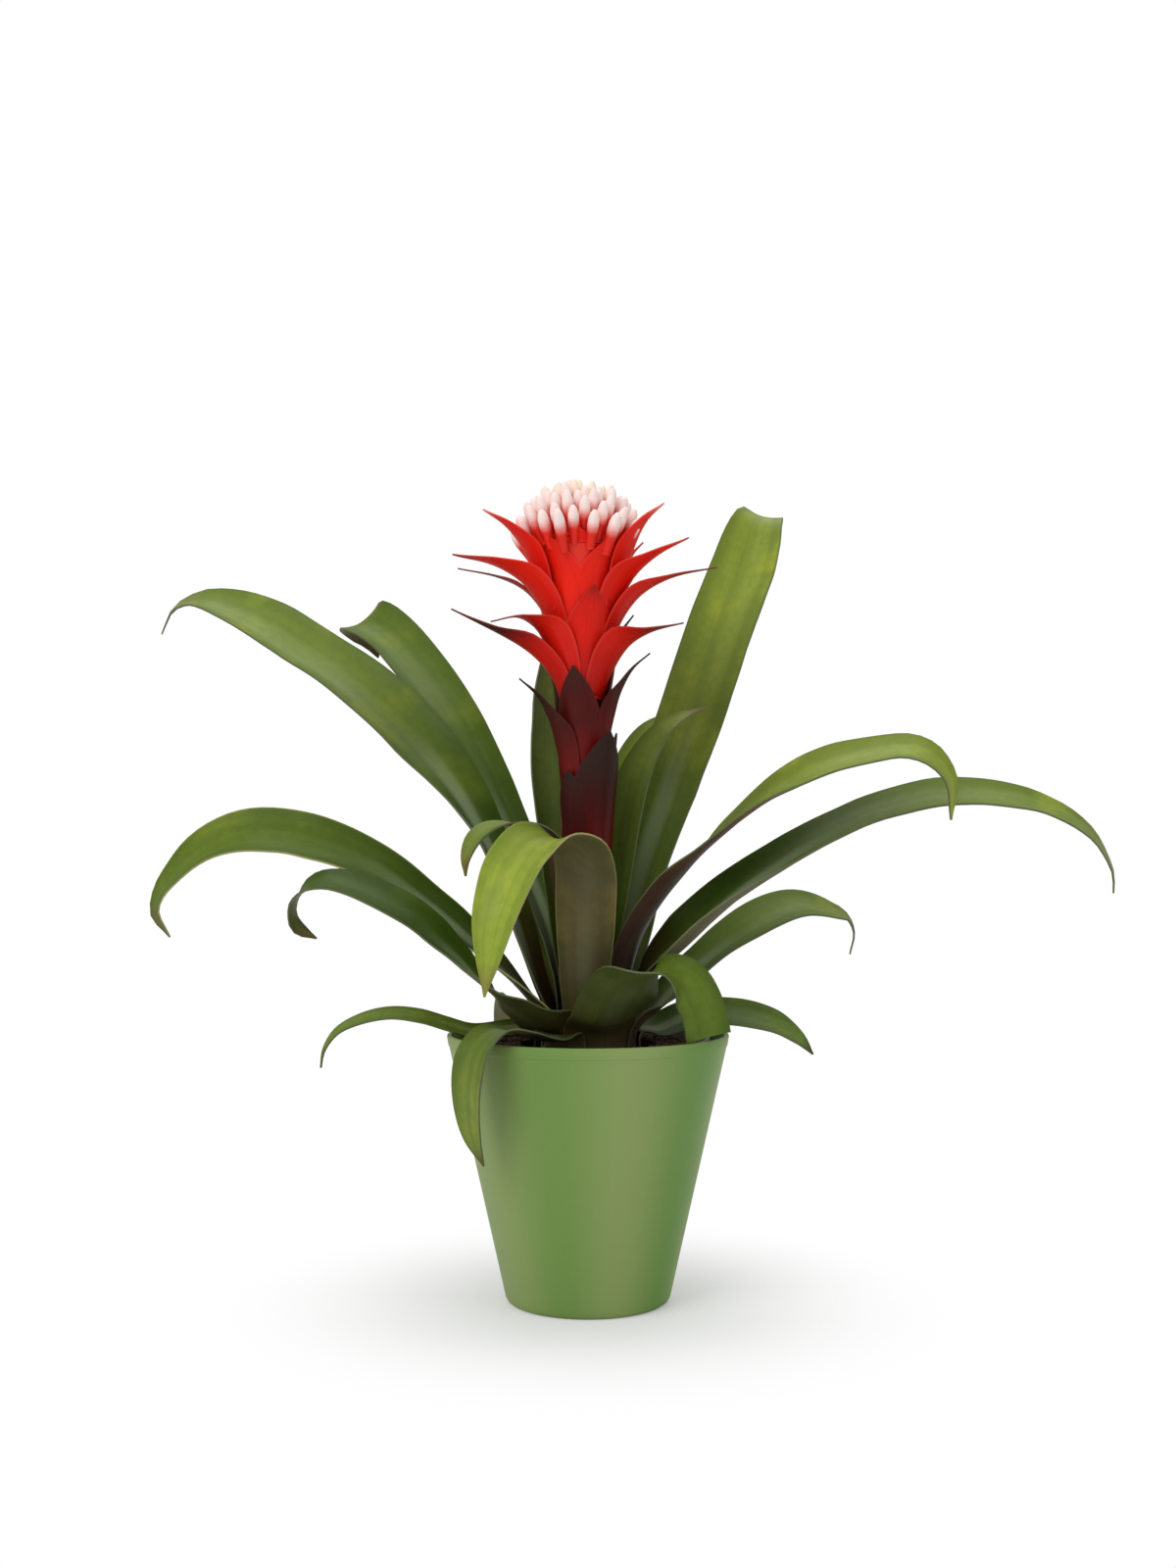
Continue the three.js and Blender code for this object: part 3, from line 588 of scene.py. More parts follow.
# The leaves, from the inner ring outwards. Each has the ring and the direction in degrees that its sheath
# stands in, its widest width, the length of its tapered end as a share of the whole, the roll in degrees
# from root to tip, the tones of its upper face and its underside, and the points of its spine.
LEAVES = {
    "leaf_back_narrow": (
        0, 125, 26, 0.45, (0, 10, 20), "middle", "green_under",
        ((-13, 15, 196), (-20, 20, 247), (-24, 26, 285), (-24, 30, 323), (-19, 35, 354), (-11, 40, 378))),
    "leaf_back_right": (
        0, 42, 27, 0.5, (0, 10, 20), "middle", "green_under",
        ((11, 10, 189), (14, 13, 220), (21, 17, 258), (29, 21, 285), (41, 26, 304), (54, 30, 313),
         (66, 33, 317))),
    "leaf_front_left_small": (
        0, 235, 24, 0.35, (0, 0, -20, -50), "middle", "purple_under",
        ((-8, -14, 190), (-14, -18, 228), (-25, -26, 245), (-38, -33, 250), (-50, -39, 249),
         (-58, -44, 243), (-62, -46, 233), (-62, -47, 224))),
    "leaf_upper_right": (
        1, 45, 42, 0.25, (0, 30, 35), "bright", "green_under",
        ((18, 15, 185), (30, 26, 229), (46, 44, 275), (62, 62, 319), (80, 84, 371), (93, 100, 404),
         (105, 118, 441), (112, 135, 441), (113, 148, 420))),
    "leaf_upper_left_second": (
        1, 148, 38, 0.14, (0, -6, -20, -36, -64), "deep", "olive_under",
        ((-17, 22, 180), (-31, 41, 219), (-49, 55, 255), (-79, 81, 313), (-112, 112, 358),
         (-128, 126, 373.5), (-139.5, 137, 381), (-140, 146, 379), (-136, 153, 371), (-133, 158, 360))),
    "leaf_right_second": (
        1, 326, 35, 0.35, (0, 0, 6, 30, 44, 46, 46), "bright", "purple_under",
        ((24, -14, 190), (39, -20, 215), (54, -27, 230), (73, -36, 248), (95, -45, 266), (121, -53, 279),
         (145, -60, 285), (160, -66, 287), (172, -70, 282), (180, -70, 271), (180, -70, 252))),
    "leaf_back_right_pale": (
        2, 65, 32, 0.35, (0, 10, 10), "bright", "green_under",
        ((15, 36, 200), (21, 54, 250), (31, 70, 288), (44, 84, 308), (58, 98, 314), (70, 110, 302))),
    "leaf_upper_left_long": (
        2, 176, 42, 0.22, (0, -14, -55, -52, -45), "lit", "purple_under",
        ((-27, -3, 165), (-39, -2, 200), (-59, 14, 248), (-90, 36, 292), (-128, 52, 328),
         (-159, 66, 349), (-190, 78, 369), (-219, 88, 383), (-235, 93, 386), (-248, 96, 381),
         (-255, 98, 367))),
    "leaf_front_centre": (
        2, 266, 37, 0.4, (0, -10, -48, -60), "fresh", "olive_under",
        ((-2, -25, 170), (-2, -31, 202), (-3, -38, 227), (-8, -47, 239), (-21, -60, 243),
         (-34, -73, 231), (-41, -80, 216), (-46, -84, 200), (-50, -86, 166))),
    "leaf_back_left": (
        3, 118, 28, 0.35, (0, 0, 0), "middle", "green_under",
        ((-23, 42, 190), (-42, 68, 240), (-66, 96, 282), (-84, 116, 300), (-96, 134, 303),
         (-101, 150, 290))),
    "leaf_left_long": (
        3, 198, 36, 0.3, (0, -50, -70, -55), "deep", "olive_under",
        ((-34, -5, 161), (-62, 3, 187), (-84, 9, 205), (-112, 14, 225), (-140, 18, 238), (-167, 20, 245),
         (-190, 20, 245), (-211, 20, 237), (-225, 19, 225), (-234, 18, 213), (-236, 17, 203),
         (-228, 16, 190))),
    "leaf_right_long": (
        3, 352, 37, 0.35, (0, 10, 14, 20, 22), "lit", "olive_under",
        ((34, -15, 173), (50, -23, 188), (76, -28, 212), (112, -31, 237), (149, -32, 255.5),
         (181, -32, 263.5), (209, -32, 264), (236, -31, 259), (260, -30, 246), (272, -28, 227),
         (273, -27, 215))),
    "leaf_back_upright": (
        4, 66, 34, 0.4, (0, 0, 0), "middle", "green_under",
        ((22, 50, 186), (37, 84, 240), (50, 116, 282), (59, 146, 300), (62, 172, 294), (62, 190, 274))),
    "leaf_left_lower": (
        3.8, 230, 35, 0.4, (0, 4, -10, -36, -50, -58, -58, -58, -58, -40, 30), "dim", "brown_under",
        ((-27, -25, 146), (-44, -32, 159), (-65, -37, 179), (-90, -40, 201), (-113, -40, 213.5),
         (-132, -40, 220), (-144, -39, 218), (-151, -38, 208), (-149, -38, 198), (-139, -38, 192))),
    "leaf_front_right_folded": (
        4.9, 290, 40, 0.12, (0, 3, -8, 45, 110, 115), "cut", "dusky_under",
        ((12, -34, 149), (16, -42, 160), (25, -50, 171), (38, -56, 177), (48, -56, 172.5),
         (54.5, -52, 163), (58.5, -48.5, 152.5), (60.5, -46, 142.5))),
    "leaf_back_long": (
        5, 92, 32, 0.35, (0, 0, 0), "deep", "green_under",
        ((-3, 52, 174), (-6, 82, 208), (-8, 112, 236), (-9, 144, 246), (-9, 175, 234), (-9, 190, 208))),
    "leaf_right_lower": (
        5, 8, 33, 0.35, (0, 30, 40, 28), "middle", "purple_under",
        ((36, 10, 151), (56, 15, 171), (76, 20, 187), (100, 26, 201), (118, 30, 205.5), (135, 32, 203),
         (143, 34, 200), (147, 34, 192), (145, 34, 180))),
    "leaf_left_thin": (
        5, 157, 9, 0.45, (0, 5, 10), "middle", "olive_under",
        ((-38, 0, 143), (-60, -12, 142.5), (-74, -19, 147), (-88, -25, 151.5), (-103, -27, 153),
         (-118, -28, 150), (-130, -28, 143.5), (-136.5, -28, 134), (-138, -28, 125))),
    "leaf_right_low": (
        6, 26, 26, 0.4, (0, 15, 20), "dark", "olive_under",
        ((38, 16, 141), (56, 20, 147), (77, 21, 148), (91, 20, 146), (104, 18, 142), (115, 16, 135),
         (122, 14, 127))),
    "leaf_back_low": (
        6, 106, 30, 0.4, (0, 0, 0), "dark", "olive_under",
        ((-2, 44, 145), (8, 68, 154), (18, 92, 155), (27, 118, 146), (31, 136, 127), (32, 144, 104))),
    "leaf_front_left_hanging": (
        6, 240, 23, 0.4, (0, 0, -12, -22), "middle", "olive_under",
        ((-22, -38, 140), (-34, -50, 144.5), (-46, -60, 147), (-55, -67, 138), (-58.5, -68, 122),
         (-58.5, -65, 105), (-56.5, -62, 92), (-52, -58, 80))),
    "leaf_back_drooping": (
        7, 130, 30, 0.4, (0, 0, 0), "dark", "olive_under",
        ((-28, 42, 143), (-35, 62, 149), (-40, 84, 147), (-43, 104, 136), (-44, 120, 116),
         (-44, 128, 90))),
}


def curve_through(stops, samples=9):
    """Points of a centripetal Catmull-Rom curve through the stops, each with its share of the length."""
    ends = [2 * stops[0] - stops[1], *stops, 2 * stops[-1] - stops[-2]]
    places = []
    for before, start, end, after in zip(ends, ends[1:], ends[2:], ends[3:]):
        a, b, c = (math.sqrt((q - p).length) for p, q in ((before, start), (start, end), (end, after)))
        leave = ((start - before) / a - (end - before) / (a + b) + (end - start) / b) * b
        arrive = ((end - start) / b - (after - start) / (b + c) + (after - end) / c) * b
        for k in range(samples):
            t = k / samples
            places.append(start + leave * t + (3 * (end - start) - 2 * leave - arrive) * t ** 2
                          + (2 * (start - end) + leave + arrive) * t ** 3)
    places.append(stops[-1].copy())
    run = [0.0]
    for p, q in zip(places, places[1:]):
        run.append(run[-1] + (q - p).length)
    return places, [each / run[-1] for each in run], run[-1]


def bend_along(piece, places, shares, roll, outward):
    """Bends a strap along a spine and rolls it by degrees. The spine gets one more point, just below and
    inside its root, which makes the strap's upper face look inward there."""
    foot = places[0] - (outward + Vector((0, 0, 1))) * FOOT_TURN
    guide_data = bpy.data.curves.new("spine", "CURVE")
    guide_data.dimensions = "3D"
    guide_data.twist_mode = "MINIMUM"
    guide_data.use_stretch = True
    guide_data.use_deform_bounds = True
    line = guide_data.splines.new("POLY")
    line.points.add(len(places))
    line.points[0].co = (*(foot * MM), 1)
    line.points[0].tilt = math.radians(roll(0))
    for point, place, share in zip(list(line.points)[1:], places, shares):
        point.co = (*(place * MM), 1)
        point.tilt = math.radians(roll(share))
    guide = bpy.data.objects.new("spine", guide_data)
    bpy.context.scene.collection.objects.link(guide)
    add_modifier(piece, "CURVE", object=guide, deform_axis="POS_X")
    bpy.data.objects.remove(guide)
    bpy.data.curves.remove(guide_data)


def rows_of(mesh):
    """The edit mesh's points in rows across the strap, each with its place along it."""
    rows = {}
    for point in mesh.verts:
        rows.setdefault(round(point.co.x, 5), []).append(point)
    return sorted(rows.items())


def flat_strap(name, rows, columns):
    """A strap one unit long and two wide, dished to a unit parabola, to be shaped row by row."""
    deselect_all()
    bpy.ops.mesh.primitive_grid_add(x_subdivisions=rows, y_subdivisions=columns, size=2, location=(0, 0, 0))
    strap = bpy.context.active_object
    strap.name = name
    mesh = into_edit(strap)
    bpy.ops.mesh.select_all(action="SELECT")
    bpy.ops.transform.resize(value=(0.5, 1, 1), center_override=(0, 0, 0))
    bpy.ops.transform.translate(value=(0.5, 0, 0))
    bpy.ops.mesh.select_all(action="DESELECT")
    sides = {}
    for point in mesh.verts:
        sides.setdefault(round(abs(point.co.y), 5), []).append(point)
    for out, points in sides.items():
        for point in points:
            point.select = True
        bpy.ops.transform.translate(value=(0, 0, out ** 2))
        for point in points:
            point.select = False
    leave_edit()
    return strap


def shape_rows(piece, scale_at):
    """Gives each row across a strap its own half width and depth of channel."""
    mesh = into_edit(piece)
    for x, row in rows_of(mesh):
        for point in row:
            point.select = True
        bpy.ops.transform.resize(value=(1, *scale_at(x)), center_override=(x, 0, 0))
        for point in row:
            point.select = False
    leave_edit()


def arc_of(half, radius):
    """How far a strip bent to a radius reaches sideways and rises at its edges, in metres."""
    turn = half / radius
    return radius * math.sin(turn) * MM, radius * (1 - math.cos(turn)) * MM


def thickened(piece, thickness, under=1, rim=2):
    """Gives a strap its thickness, with its own materials underneath and on the rim."""
    add_modifier(piece, "SOLIDIFY", thickness=thickness * MM, offset=0.0, material_offset=under,
                 material_offset_rim=rim)


RIPPLE = bpy.data.textures.new("ripple", "CLOUDS")
RIPPLE.noise_scale = RIPPLE_SIZE * MM
RIPPLE.noise_depth = 1


def grow_leaf(node, blank, ring, start, width, taper, roll, points):
    """A strap leaf: a sheath that clasps the crown, a waist, a wider blade and a drawn-out tip."""
    radius = FIRST_RING_RADIUS + RING_STEP * ring
    outward = compass(start)
    root = outward * radius + Vector((0, 0, SEAT_HEIGHT))
    stops = [root, root + Vector((0, 0, SHEATH_HEIGHT)), *(Vector(p) for p in points)]
    places, shares, length = curve_through(stops)
    opens = SHEATH_OPENS / length
    spread = WIDE_SHEATHS.get(node, SHEATH_SPREAD)
    sheath_width = min(SHEATH_FULLNESS * width, 2 * spread * radius)
    low_width = WAISTS.get(node, LEAF_WAIST) * width
    low_channel, high_channel = BENT_CHANNELS.get(node, (BLADE_CURL_RADIUS, BLADE_CURL_RADIUS))

    def place_at(u):
        i = min(range(len(shares)), key=lambda k: abs(shares[k] - u))
        return places[i]

    def scale_at(u):
        risen = smooth((u - WAIST_START) / (WAIST_END - WAIST_START))
        waist = blend(low_width, width, risen)
        channel = blend(low_channel, high_channel, risen)
        body = blend(sheath_width, waist, smooth((u - SHEATH_NARROWS * opens) / opens))
        if node == CUT_LEAF:
            half = body * (1 - CUT_NARROWS * smooth((u - CUT_NARROWS_FROM) / CUT_NARROWS_OVER)) / 2
        else:
            end = max(0, (u - 1 + taper) / taper)
            half = max(TIP_HALF_WIDTH, body * (1 - end ** 2) / 2)
        clasp = place_at(u).to_2d().length
        curl = 1 / blend(1 / clasp, 1 / channel, smooth((u - SHEATH_UNROLLS * opens) / opens))
        return arc_of(half, curl)

    leaf = copy_of(blank, node.replace("leaf", "blade"))
    shape_rows(leaf, scale_at)
    bend_along(leaf, places, shares, lambda u: between(roll, u), outward)
    add_modifier(leaf, "DISPLACE", texture=RIPPLE, texture_coords="LOCAL", strength=RIPPLE_HEIGHT * MM,
                 mid_level=0.5)
    return leaf


def make_leaves():
    blank = flat_strap("leaf_blank", LEAF_ROWS, LEAF_COLUMNS)
    green_rim = leaf_margin("leaf_margin_green", "46502a", "5c663a")
    pale_rim = leaf_margin("leaf_margin_pale", "7c8046", "a8a468")
    for seed, (node, shape) in enumerate(LEAVES.items()):
        ring, start, width, taper, roll, upper, under, points = shape
        leaf = grow_leaf(node, blank, ring, start, width, taper, roll, points)
        pale = node in PALE_EDGED
        edge_tone = "a8a85c" if pale else "434d22"
        above = leaf_skin(leaf.name + "_top", TONES[upper], edge_tone, seed)
        # The undersides get only a faint painted highlight
        below = leaf_skin(leaf.name + "_under", TONES[under], edge_tone, seed + 40, gloss=0.42, painted_sheen=0.08)
        give_materials(leaf, above, below, pale_rim if pale else green_rim)
        thickened(leaf, LEAF_THICKNESS)
        smooth_shaded(leaf)
        rides_for(leaf, node)
    bpy.data.objects.remove(blank)


# The flower head. Each bract has its direction in degrees, its root's height, its tip's reach and height,
# its width, the radius that it holds, the height that it bows upwards, how drawn out its end is, how far its
# tip colour reaches, whether that is pale, and its depth of tone.
RED_BRACTS = (
    (204, 364, 56, 417, 24, 21.5, 0, 0.6, 0.12, 1, 0.1),
    (-24, 366, 49, 421, 24, 22.5, 0, 0.6, 0.16, 1, 0.1),
    (203, 344, 73, 392, 32, 16, 3, 0.5, 0.22, 0, 0.05),
    (168, 352, 69, 392, 16, 17, 0, 1.0, 0.6, 0, 0.6),
    (-26, 346, 63, 401, 30, 16.5, 0, 0.8, 0.12, 0, 0.15),
    (-14, 336, 74, 387, 24, 15, 3, 1.0, 0.4, 0, 0.3),
    (286, 326, 24, 377, 32, 14.5, 0, 0.2, 0.16, 0, 0.4),
    (236, 340, 29, 402, 37, 15.5, 0, 0.1, 0.04, 0, 0.0),
    (302, 340, 29, 402, 37, 15.5, 0, 0.1, 0.04, 0, 0.1),
    (204, 314, 75, 363, 26, 12.5, -5, 0.9, 0.62, 0, 0.3),
    (215, 320, 58, 356, 32, 13.5, 10, 1.0, 0.4, 0, 0.25),
    (-28, 320, 60, 356, 33, 13.5, 2, 1.0, 0.45, 0, 0.4),
    (50, 344, 48, 396, 30, 16.5, 0, 0.7, 0.25, 0, 0.2),
    (95, 336, 40, 383, 30, 15, 0, 0.6, 0.25, 0, 0.3),
    (135, 348, 50, 398, 30, 16.5, 0, 0.7, 0.25, 0, 0.2),
    (90, 360, 40, 412, 28, 20.5, 0, 0.5, 0.15, 0, 0.1),
    (268, 352, 27.5, 407, 40, 14, 0, 0.0, 0.0, 0, 0.0),
    (180, 356, 32, 404, 30, 19.5, 0, 0.5, 0.15, 0, 0.1),
    (2, 356, 34, 404, 30, 19.5, 0, 0.5, 0.15, 0, 0.2),
    (70, 322, 30, 364, 32, 13, 0, 0.5, 0.3, 0, 0.5),
    (130, 320, 30, 360, 32, 13, 0, 0.5, 0.3, 0, 0.5),
)
MAROON_BRACTS = (
    (25, 296, 30, 366, 22, 12, 0, 0.8, 0.4, 0, 0.4),
    (150, 280, 22, 334, 24, 11.5, 0, 0.8, 0.4, 0, 0.4),
    (-20, 280, 37, 342, 22, 11.5, 0, 1.0, 0.4, 0, 0.3),
    (206, 262, 39, 328, 26, 11.5, 0, 0.9, 0.45, 0, 0.3),
    (250, 272, 18, 335, 30, 12, 0, 0.0, 0.25, 0, 0.0),
    (300, 230, 24, 300, 37, 12.5, 0, 0.1, 0.5, 0, 1.0),
    (232, 222, 17, 280, 34, 11.5, 0, 0.1, 0.3, 0, 0.8),
    (340, 244, 17, 300, 28, 11.5, 0, 0.3, 0.3, 0, 0.5),
    (150, 240, 20, 312, 28, 11.5, 0, 0.4, 0.3, 0, 0.5),
    (90, 258, 24, 330, 30, 11.5, 0, 0.5, 0.3, 0, 0.4),
    (60, 226, 22, 300, 30, 11.5, 0, 0.5, 0.3, 0, 0.6),
    (120, 212, 20, 284, 30, 11.5, 0, 0.5, 0.3, 0, 0.6),
)

# The florets: their number, sizes in millimetres, and how far the outer ones lean, in radians. The outline
# of one holds shares of its radius with heights, and that of the cap below them radii with heights.
FLORETS = 88
FLORET_LENGTH = 22
FLORET_RADIUS = 2.8
FLORET_LOW = 393
FLORET_RISE = 20.5
FLORET_TILT = 0.55
FLORET_SWAY = 0.06
FLORET_OUTLINE = ((0.75, 0), (0.8, 6), (1, 13), (0.95, 17), (0.72, 20), (0.3, FLORET_LENGTH))
FLORET_SIDES = 10
FLORET_SEED = 4
CREAM_FADES = 1.6
DOME_SPREAD = 25
CAP_OUTLINE = ((24, 399.3), (23, 404), (15, 412), (4, 416))


def head_centre(z):
    """The stalk leans a little to the left as it rises."""
    return -HEAD_LEAN * max(0, z - LEAN_START)


def core_radius(z):
    share = (z - HEAD_BOTTOM) / (HEAD_TOP - HEAD_BOTTOM)
    return blend(CORE_BOTTOM_RADIUS, CORE_TOP_RADIUS, share ** 2)


def bract_outline(u, tail):
    """Half the width of a bract along its length: a full belly, then a blunt or a drawn-out end."""
    if u < BRACT_BELLY:
        return blend(BRACT_ROOT_SHARE, 1, smooth(u / BRACT_BELLY))
    end = (u - BRACT_BELLY) / (1 - BRACT_BELLY)
    return blend(1 - end ** 2, (1 - end) ** BRACT_DRAWN_OUT, tail * smooth(2 * end))


def with_tone(piece, tip_reach, tip_pale, tone):
    """Stores on a piece what its bract skin reads."""
    for label, value in (("tip_reach", tip_reach), ("tip_pale", tip_pale), ("tone", tone)):
        layer = piece.data.attributes.new(label, "FLOAT", "POINT")
        layer.data.foreach_set("value", [value] * len(piece.data.vertices))


def grow_bract(blank, number, kind, shape):
    """A bract that clings to the stalk, stands off it, and flares out to its tip."""
    turn, root, reach, tip, width, hold, arch, tail, tip_reach, tip_pale, tone = shape
    outward = compass(turn)
    inner = hold - BRACT_ROOT_DEPTH
    outer = hold + BRACT_STANDS_OFF
    stops = []
    for i in range(BRACT_STOPS):
        t = i / (BRACT_STOPS - 1)
        radius = blend(inner, outer, min(1, 3 * t)) + (reach - outer) * t ** BRACT_FLARE
        rise = BRACT_EARLY_RISE * t + (1 - BRACT_EARLY_RISE) * t ** 3
        height = root + (tip - root) * rise + arch * BOW_SCALE * t ** 2 * (1 - t)
        stops.append(Vector((head_centre(root), 0, height)) + outward * radius)
    places, shares, _ = curve_through(stops, 5)
    bract = copy_of(blank, f"{kind}_{number}")

    def scale_at(u):
        half = max(BRACT_TIP_HALF_WIDTH, width / 2 * bract_outline(u, tail))
        return arc_of(half, hold + BRACT_HUGS + BRACT_UNROLLS * u)

    shape_rows(bract, scale_at)
    bend_along(bract, places, shares, lambda u: 0, outward)
    with_tone(bract, tip_reach, tip_pale, tone)
    thickened(bract, BRACT_THICKNESS, 0, 0)
    return bract


def turned(name, profile, segments=96):
    """A closed round piece raised ring by ring from a disc, from (radius, height) pairs in metres."""
    radius, low = profile[0]
    deselect_all()
    bpy.ops.mesh.primitive_circle_add(vertices=segments, radius=radius, fill_type="NGON",
                                      location=(0, 0, low))
    piece = bpy.context.active_object
    piece.name = name
    bpy.ops.object.mode_set(mode="EDIT")
    bpy.ops.mesh.select_mode(type="FACE")
    bpy.ops.mesh.select_all(action="SELECT")
    for next_radius, high in profile[1:]:
        bpy.ops.mesh.extrude_region_move(TRANSFORM_OT_translate={"value": (0, 0, high - low)})
        growth = next_radius / radius
        bpy.ops.transform.resize(value=(growth, growth, 1), center_override=(0, 0, high))
        radius, low = next_radius, high
    leave_edit()
    make_active(piece)
    bpy.ops.object.transform_apply(location=True, rotation=True, scale=True)
    return piece


def lean_over(piece):
    """Moves each ring of an upright piece over by the lean of the stalk."""
    mesh = into_edit(piece)
    rings = {}
    for point in mesh.verts:
        rings.setdefault(round(point.co.z, 6), []).append(point)
    for z, ring in rings.items():
        for point in ring:
            point.select = True
        bpy.ops.transform.translate(value=(head_centre(z / MM) * MM, 0, 0))
        for point in ring:
            point.select = False
    leave_edit()


def make_flower():
    """The red head and the stalk with its maroon bracts."""
    blank = flat_strap("bract_blank", BRACT_ROWS, BRACT_COLUMNS)
    # The last colour of each bract skin is its painted edge highlight
    red = bract_skin("red_bract_skin", "d0160c", "ee200e", "4a1616", "f4c8b8", "f0806c")
    maroon = bract_skin("maroon_bract_skin", "8a100a", "4e0e0a", "301e16", "4c3c30", "5c3a30")
    steps = [blend(HEAD_BOTTOM, HEAD_TOP, i / CORE_RINGS) for i in range(CORE_RINGS + 1)]
    core = turned("core", in_metres((core_radius(z), z) for z in steps), ROUND_SIDES)
    lean_over(core)
    with_tone(core, 0, 0, 0.1)
    pieces = [core] + [grow_bract(blank, i, "red", shape) for i, shape in enumerate(RED_BRACTS)]
    head = joined("red_head", pieces)
    give_materials(head, red)
    smooth_shaded(head, 50)
    rides_for(head, "red_bracts")
    outline = ((STALK_RADIUS, SEAT_HEIGHT), (STALK_RADIUS, STALK_WIDENS_FROM),
               (STALK_TOP_RADIUS, STALK_WIDENS_TO), (STALK_TOP_RADIUS, STALK_TOP))
    stem = turned("stem", in_metres(outline), ROUND_SIDES)
    lean_over(stem)
    with_tone(stem, 0, 0, 0.8)
    pieces = [stem] + [grow_bract(blank, i, "maroon", shape) for i, shape in enumerate(MAROON_BRACTS)]
    stalk = joined("flower_stalk", pieces)
    give_materials(stalk, maroon)
    smooth_shaded(stalk, 50)
    rides_for(stalk, "scape")
    bpy.data.objects.remove(blank)


def make_florets():
    """Blunt fingers that stand out of a low dome, leaning further out towards its rim."""
    outline = [(share * FLORET_RADIUS, height) for share, height in FLORET_OUTLINE]
    finger = turned("finger", in_metres(outline), FLORET_SIDES)
    layer = finger.data.attributes.new("grown", "FLOAT", "POINT")
    layer.data.foreach_set("value", [v.co.z / (FLORET_LENGTH * MM) for v in finger.data.vertices])
    centre = head_centre(HEAD_TOP)
    draw = random.Random(FLORET_SEED)
    pieces = []
    for i in range(FLORETS):
        share = math.sqrt((i + 0.5) / FLORETS)
        turn = i * GOLDEN_ANGLE
        tilt = FLORET_TILT * share ** 1.4 + draw.uniform(-FLORET_SWAY, FLORET_SWAY)
        out = DOME_SPREAD * share
        low = FLORET_LOW + FLORET_RISE * (1 - share ** 3)
        copy = copy_of(finger, f"finger_{i}")
        stretch = draw.uniform(0.9, 1.08)
        girth = draw.uniform(0.95, 1.05) * (0.95 + 0.2 * share)
        into_edit(copy)
        bpy.ops.mesh.select_all(action="SELECT")
        bpy.ops.transform.resize(value=(girth, girth, stretch), center_override=(0, 0, 0))
        bpy.ops.transform.rotate(value=-tilt, orient_axis="Y", center_override=(0, 0, 0))
        bpy.ops.transform.rotate(value=-turn, orient_axis="Z", center_override=(0, 0, 0))
        bpy.ops.transform.translate(value=((centre + out * math.cos(turn)) * MM,
                                           out * math.sin(turn) * MM, low * MM))
        leave_edit()
        layer = copy.data.attributes.new("cream", "FLOAT", "POINT")
        layer.data.foreach_set("value", [max(0.0, 1 - CREAM_FADES * share)] * len(copy.data.vertices))
        pieces.append(copy)
    bpy.data.objects.remove(finger)
    cap = turned("cap", in_metres(CAP_OUTLINE), ROUND_SIDES)
    bpy.ops.transform.translate(value=(centre * MM, 0, 0))
    bpy.ops.object.transform_apply(location=True, rotation=True, scale=True)
    florets = joined("florets", [cap, *pieces])
    give_materials(florets, floret_skin())
    smooth_shaded(florets, 60)
    rides_for(florets, "floret_dome")


# The pots and what they hold

def make_outer_pot():
    """The green conical pot, with a rounded foot and a faint band under its rim."""
    foot, base, floor, band, wall = 0.040, 0.0055, 0.003, 0.006, 0.0024
    band_low = POT_HEIGHT - band
    side = POT_RIM_RADIUS - wall / 2
    inside = POT_RIM_RADIUS - wall
    pot = turned("outer_pot", [
        (foot, 0), (foot + 0.0015, 0.0003), (foot + 0.0028, 0.0012), (foot + 0.0037, 0.0028),
        (foot + 0.0043, base), (side, band_low), (side + 0.0004, band_low + 0.0004),
        (side + 0.0005, band_low + 0.0010), (POT_RIM_RADIUS, POT_HEIGHT - 0.001),
        (POT_RIM_RADIUS - 0.0002, POT_HEIGHT - 0.0003), (POT_RIM_RADIUS - 0.0007, POT_HEIGHT),
        (inside + 0.0007, POT_HEIGHT), (inside + 0.0001, POT_HEIGHT - 0.0004), (inside, POT_HEIGHT - 0.001),
        (foot + 0.0018, base), (foot, floor),
    ], 128)
    # Its two colours are those of the painted pale bands and of the painted shade between them
    give_materials(pot, pot_plastic("green_plastic", "879b5a", "668c3e", 0.42, 0.12))
    smooth_shaded(pot, 30)
    rides_for(pot, "cachepot")


def make_inner_pot():
    """The thin taupe nursery pot, with a rolled rim and drain holes."""
    low, top, rim = NURSERY_LOW.z, NURSERY_HIGH.z, NURSERY_HIGH.x
    foot, shoulder, wall = 0.046, 0.062, 0.0015
    holes, hole_radius, hole_ring = 6, 0.004, 0.034
    pot = turned("inner_pot", [
        (foot - 0.0005, low), (foot, low + 0.0005), (shoulder, top - 0.009), (rim - 0.0006, top - 0.008),
        (rim, top - 0.0008), (rim - 0.0002, top - 0.0003), (rim - 0.0007, top), (rim - 0.002, top),
        (rim - 0.0026, top - 0.0009), (shoulder - wall, top - 0.010), (foot - wall, low + wall),
    ])
    cutters = []
    for i in range(holes):
        place = compass(360 / holes * i) * hole_ring + Vector((0, 0, low))
        bpy.ops.mesh.primitive_cylinder_add(vertices=24, radius=hole_radius, depth=4 * wall, location=place)
        cutters.append(bpy.context.active_object)
    cutter = joined("drain_cutter", cutters)
    add_modifier(pot, "BOOLEAN", object=cutter, operation="DIFFERENCE", solver="EXACT")
    bpy.data.objects.remove(cutter)
    # Its two colours are those of the painted pale bands and of the painted shade between them
    give_materials(pot, pot_plastic("taupe_plastic", "6d6453", "5c5546", 0.5, 0.2))
    smooth_shaded(pot, 30)
    rides_for(pot, "nursery_pot")


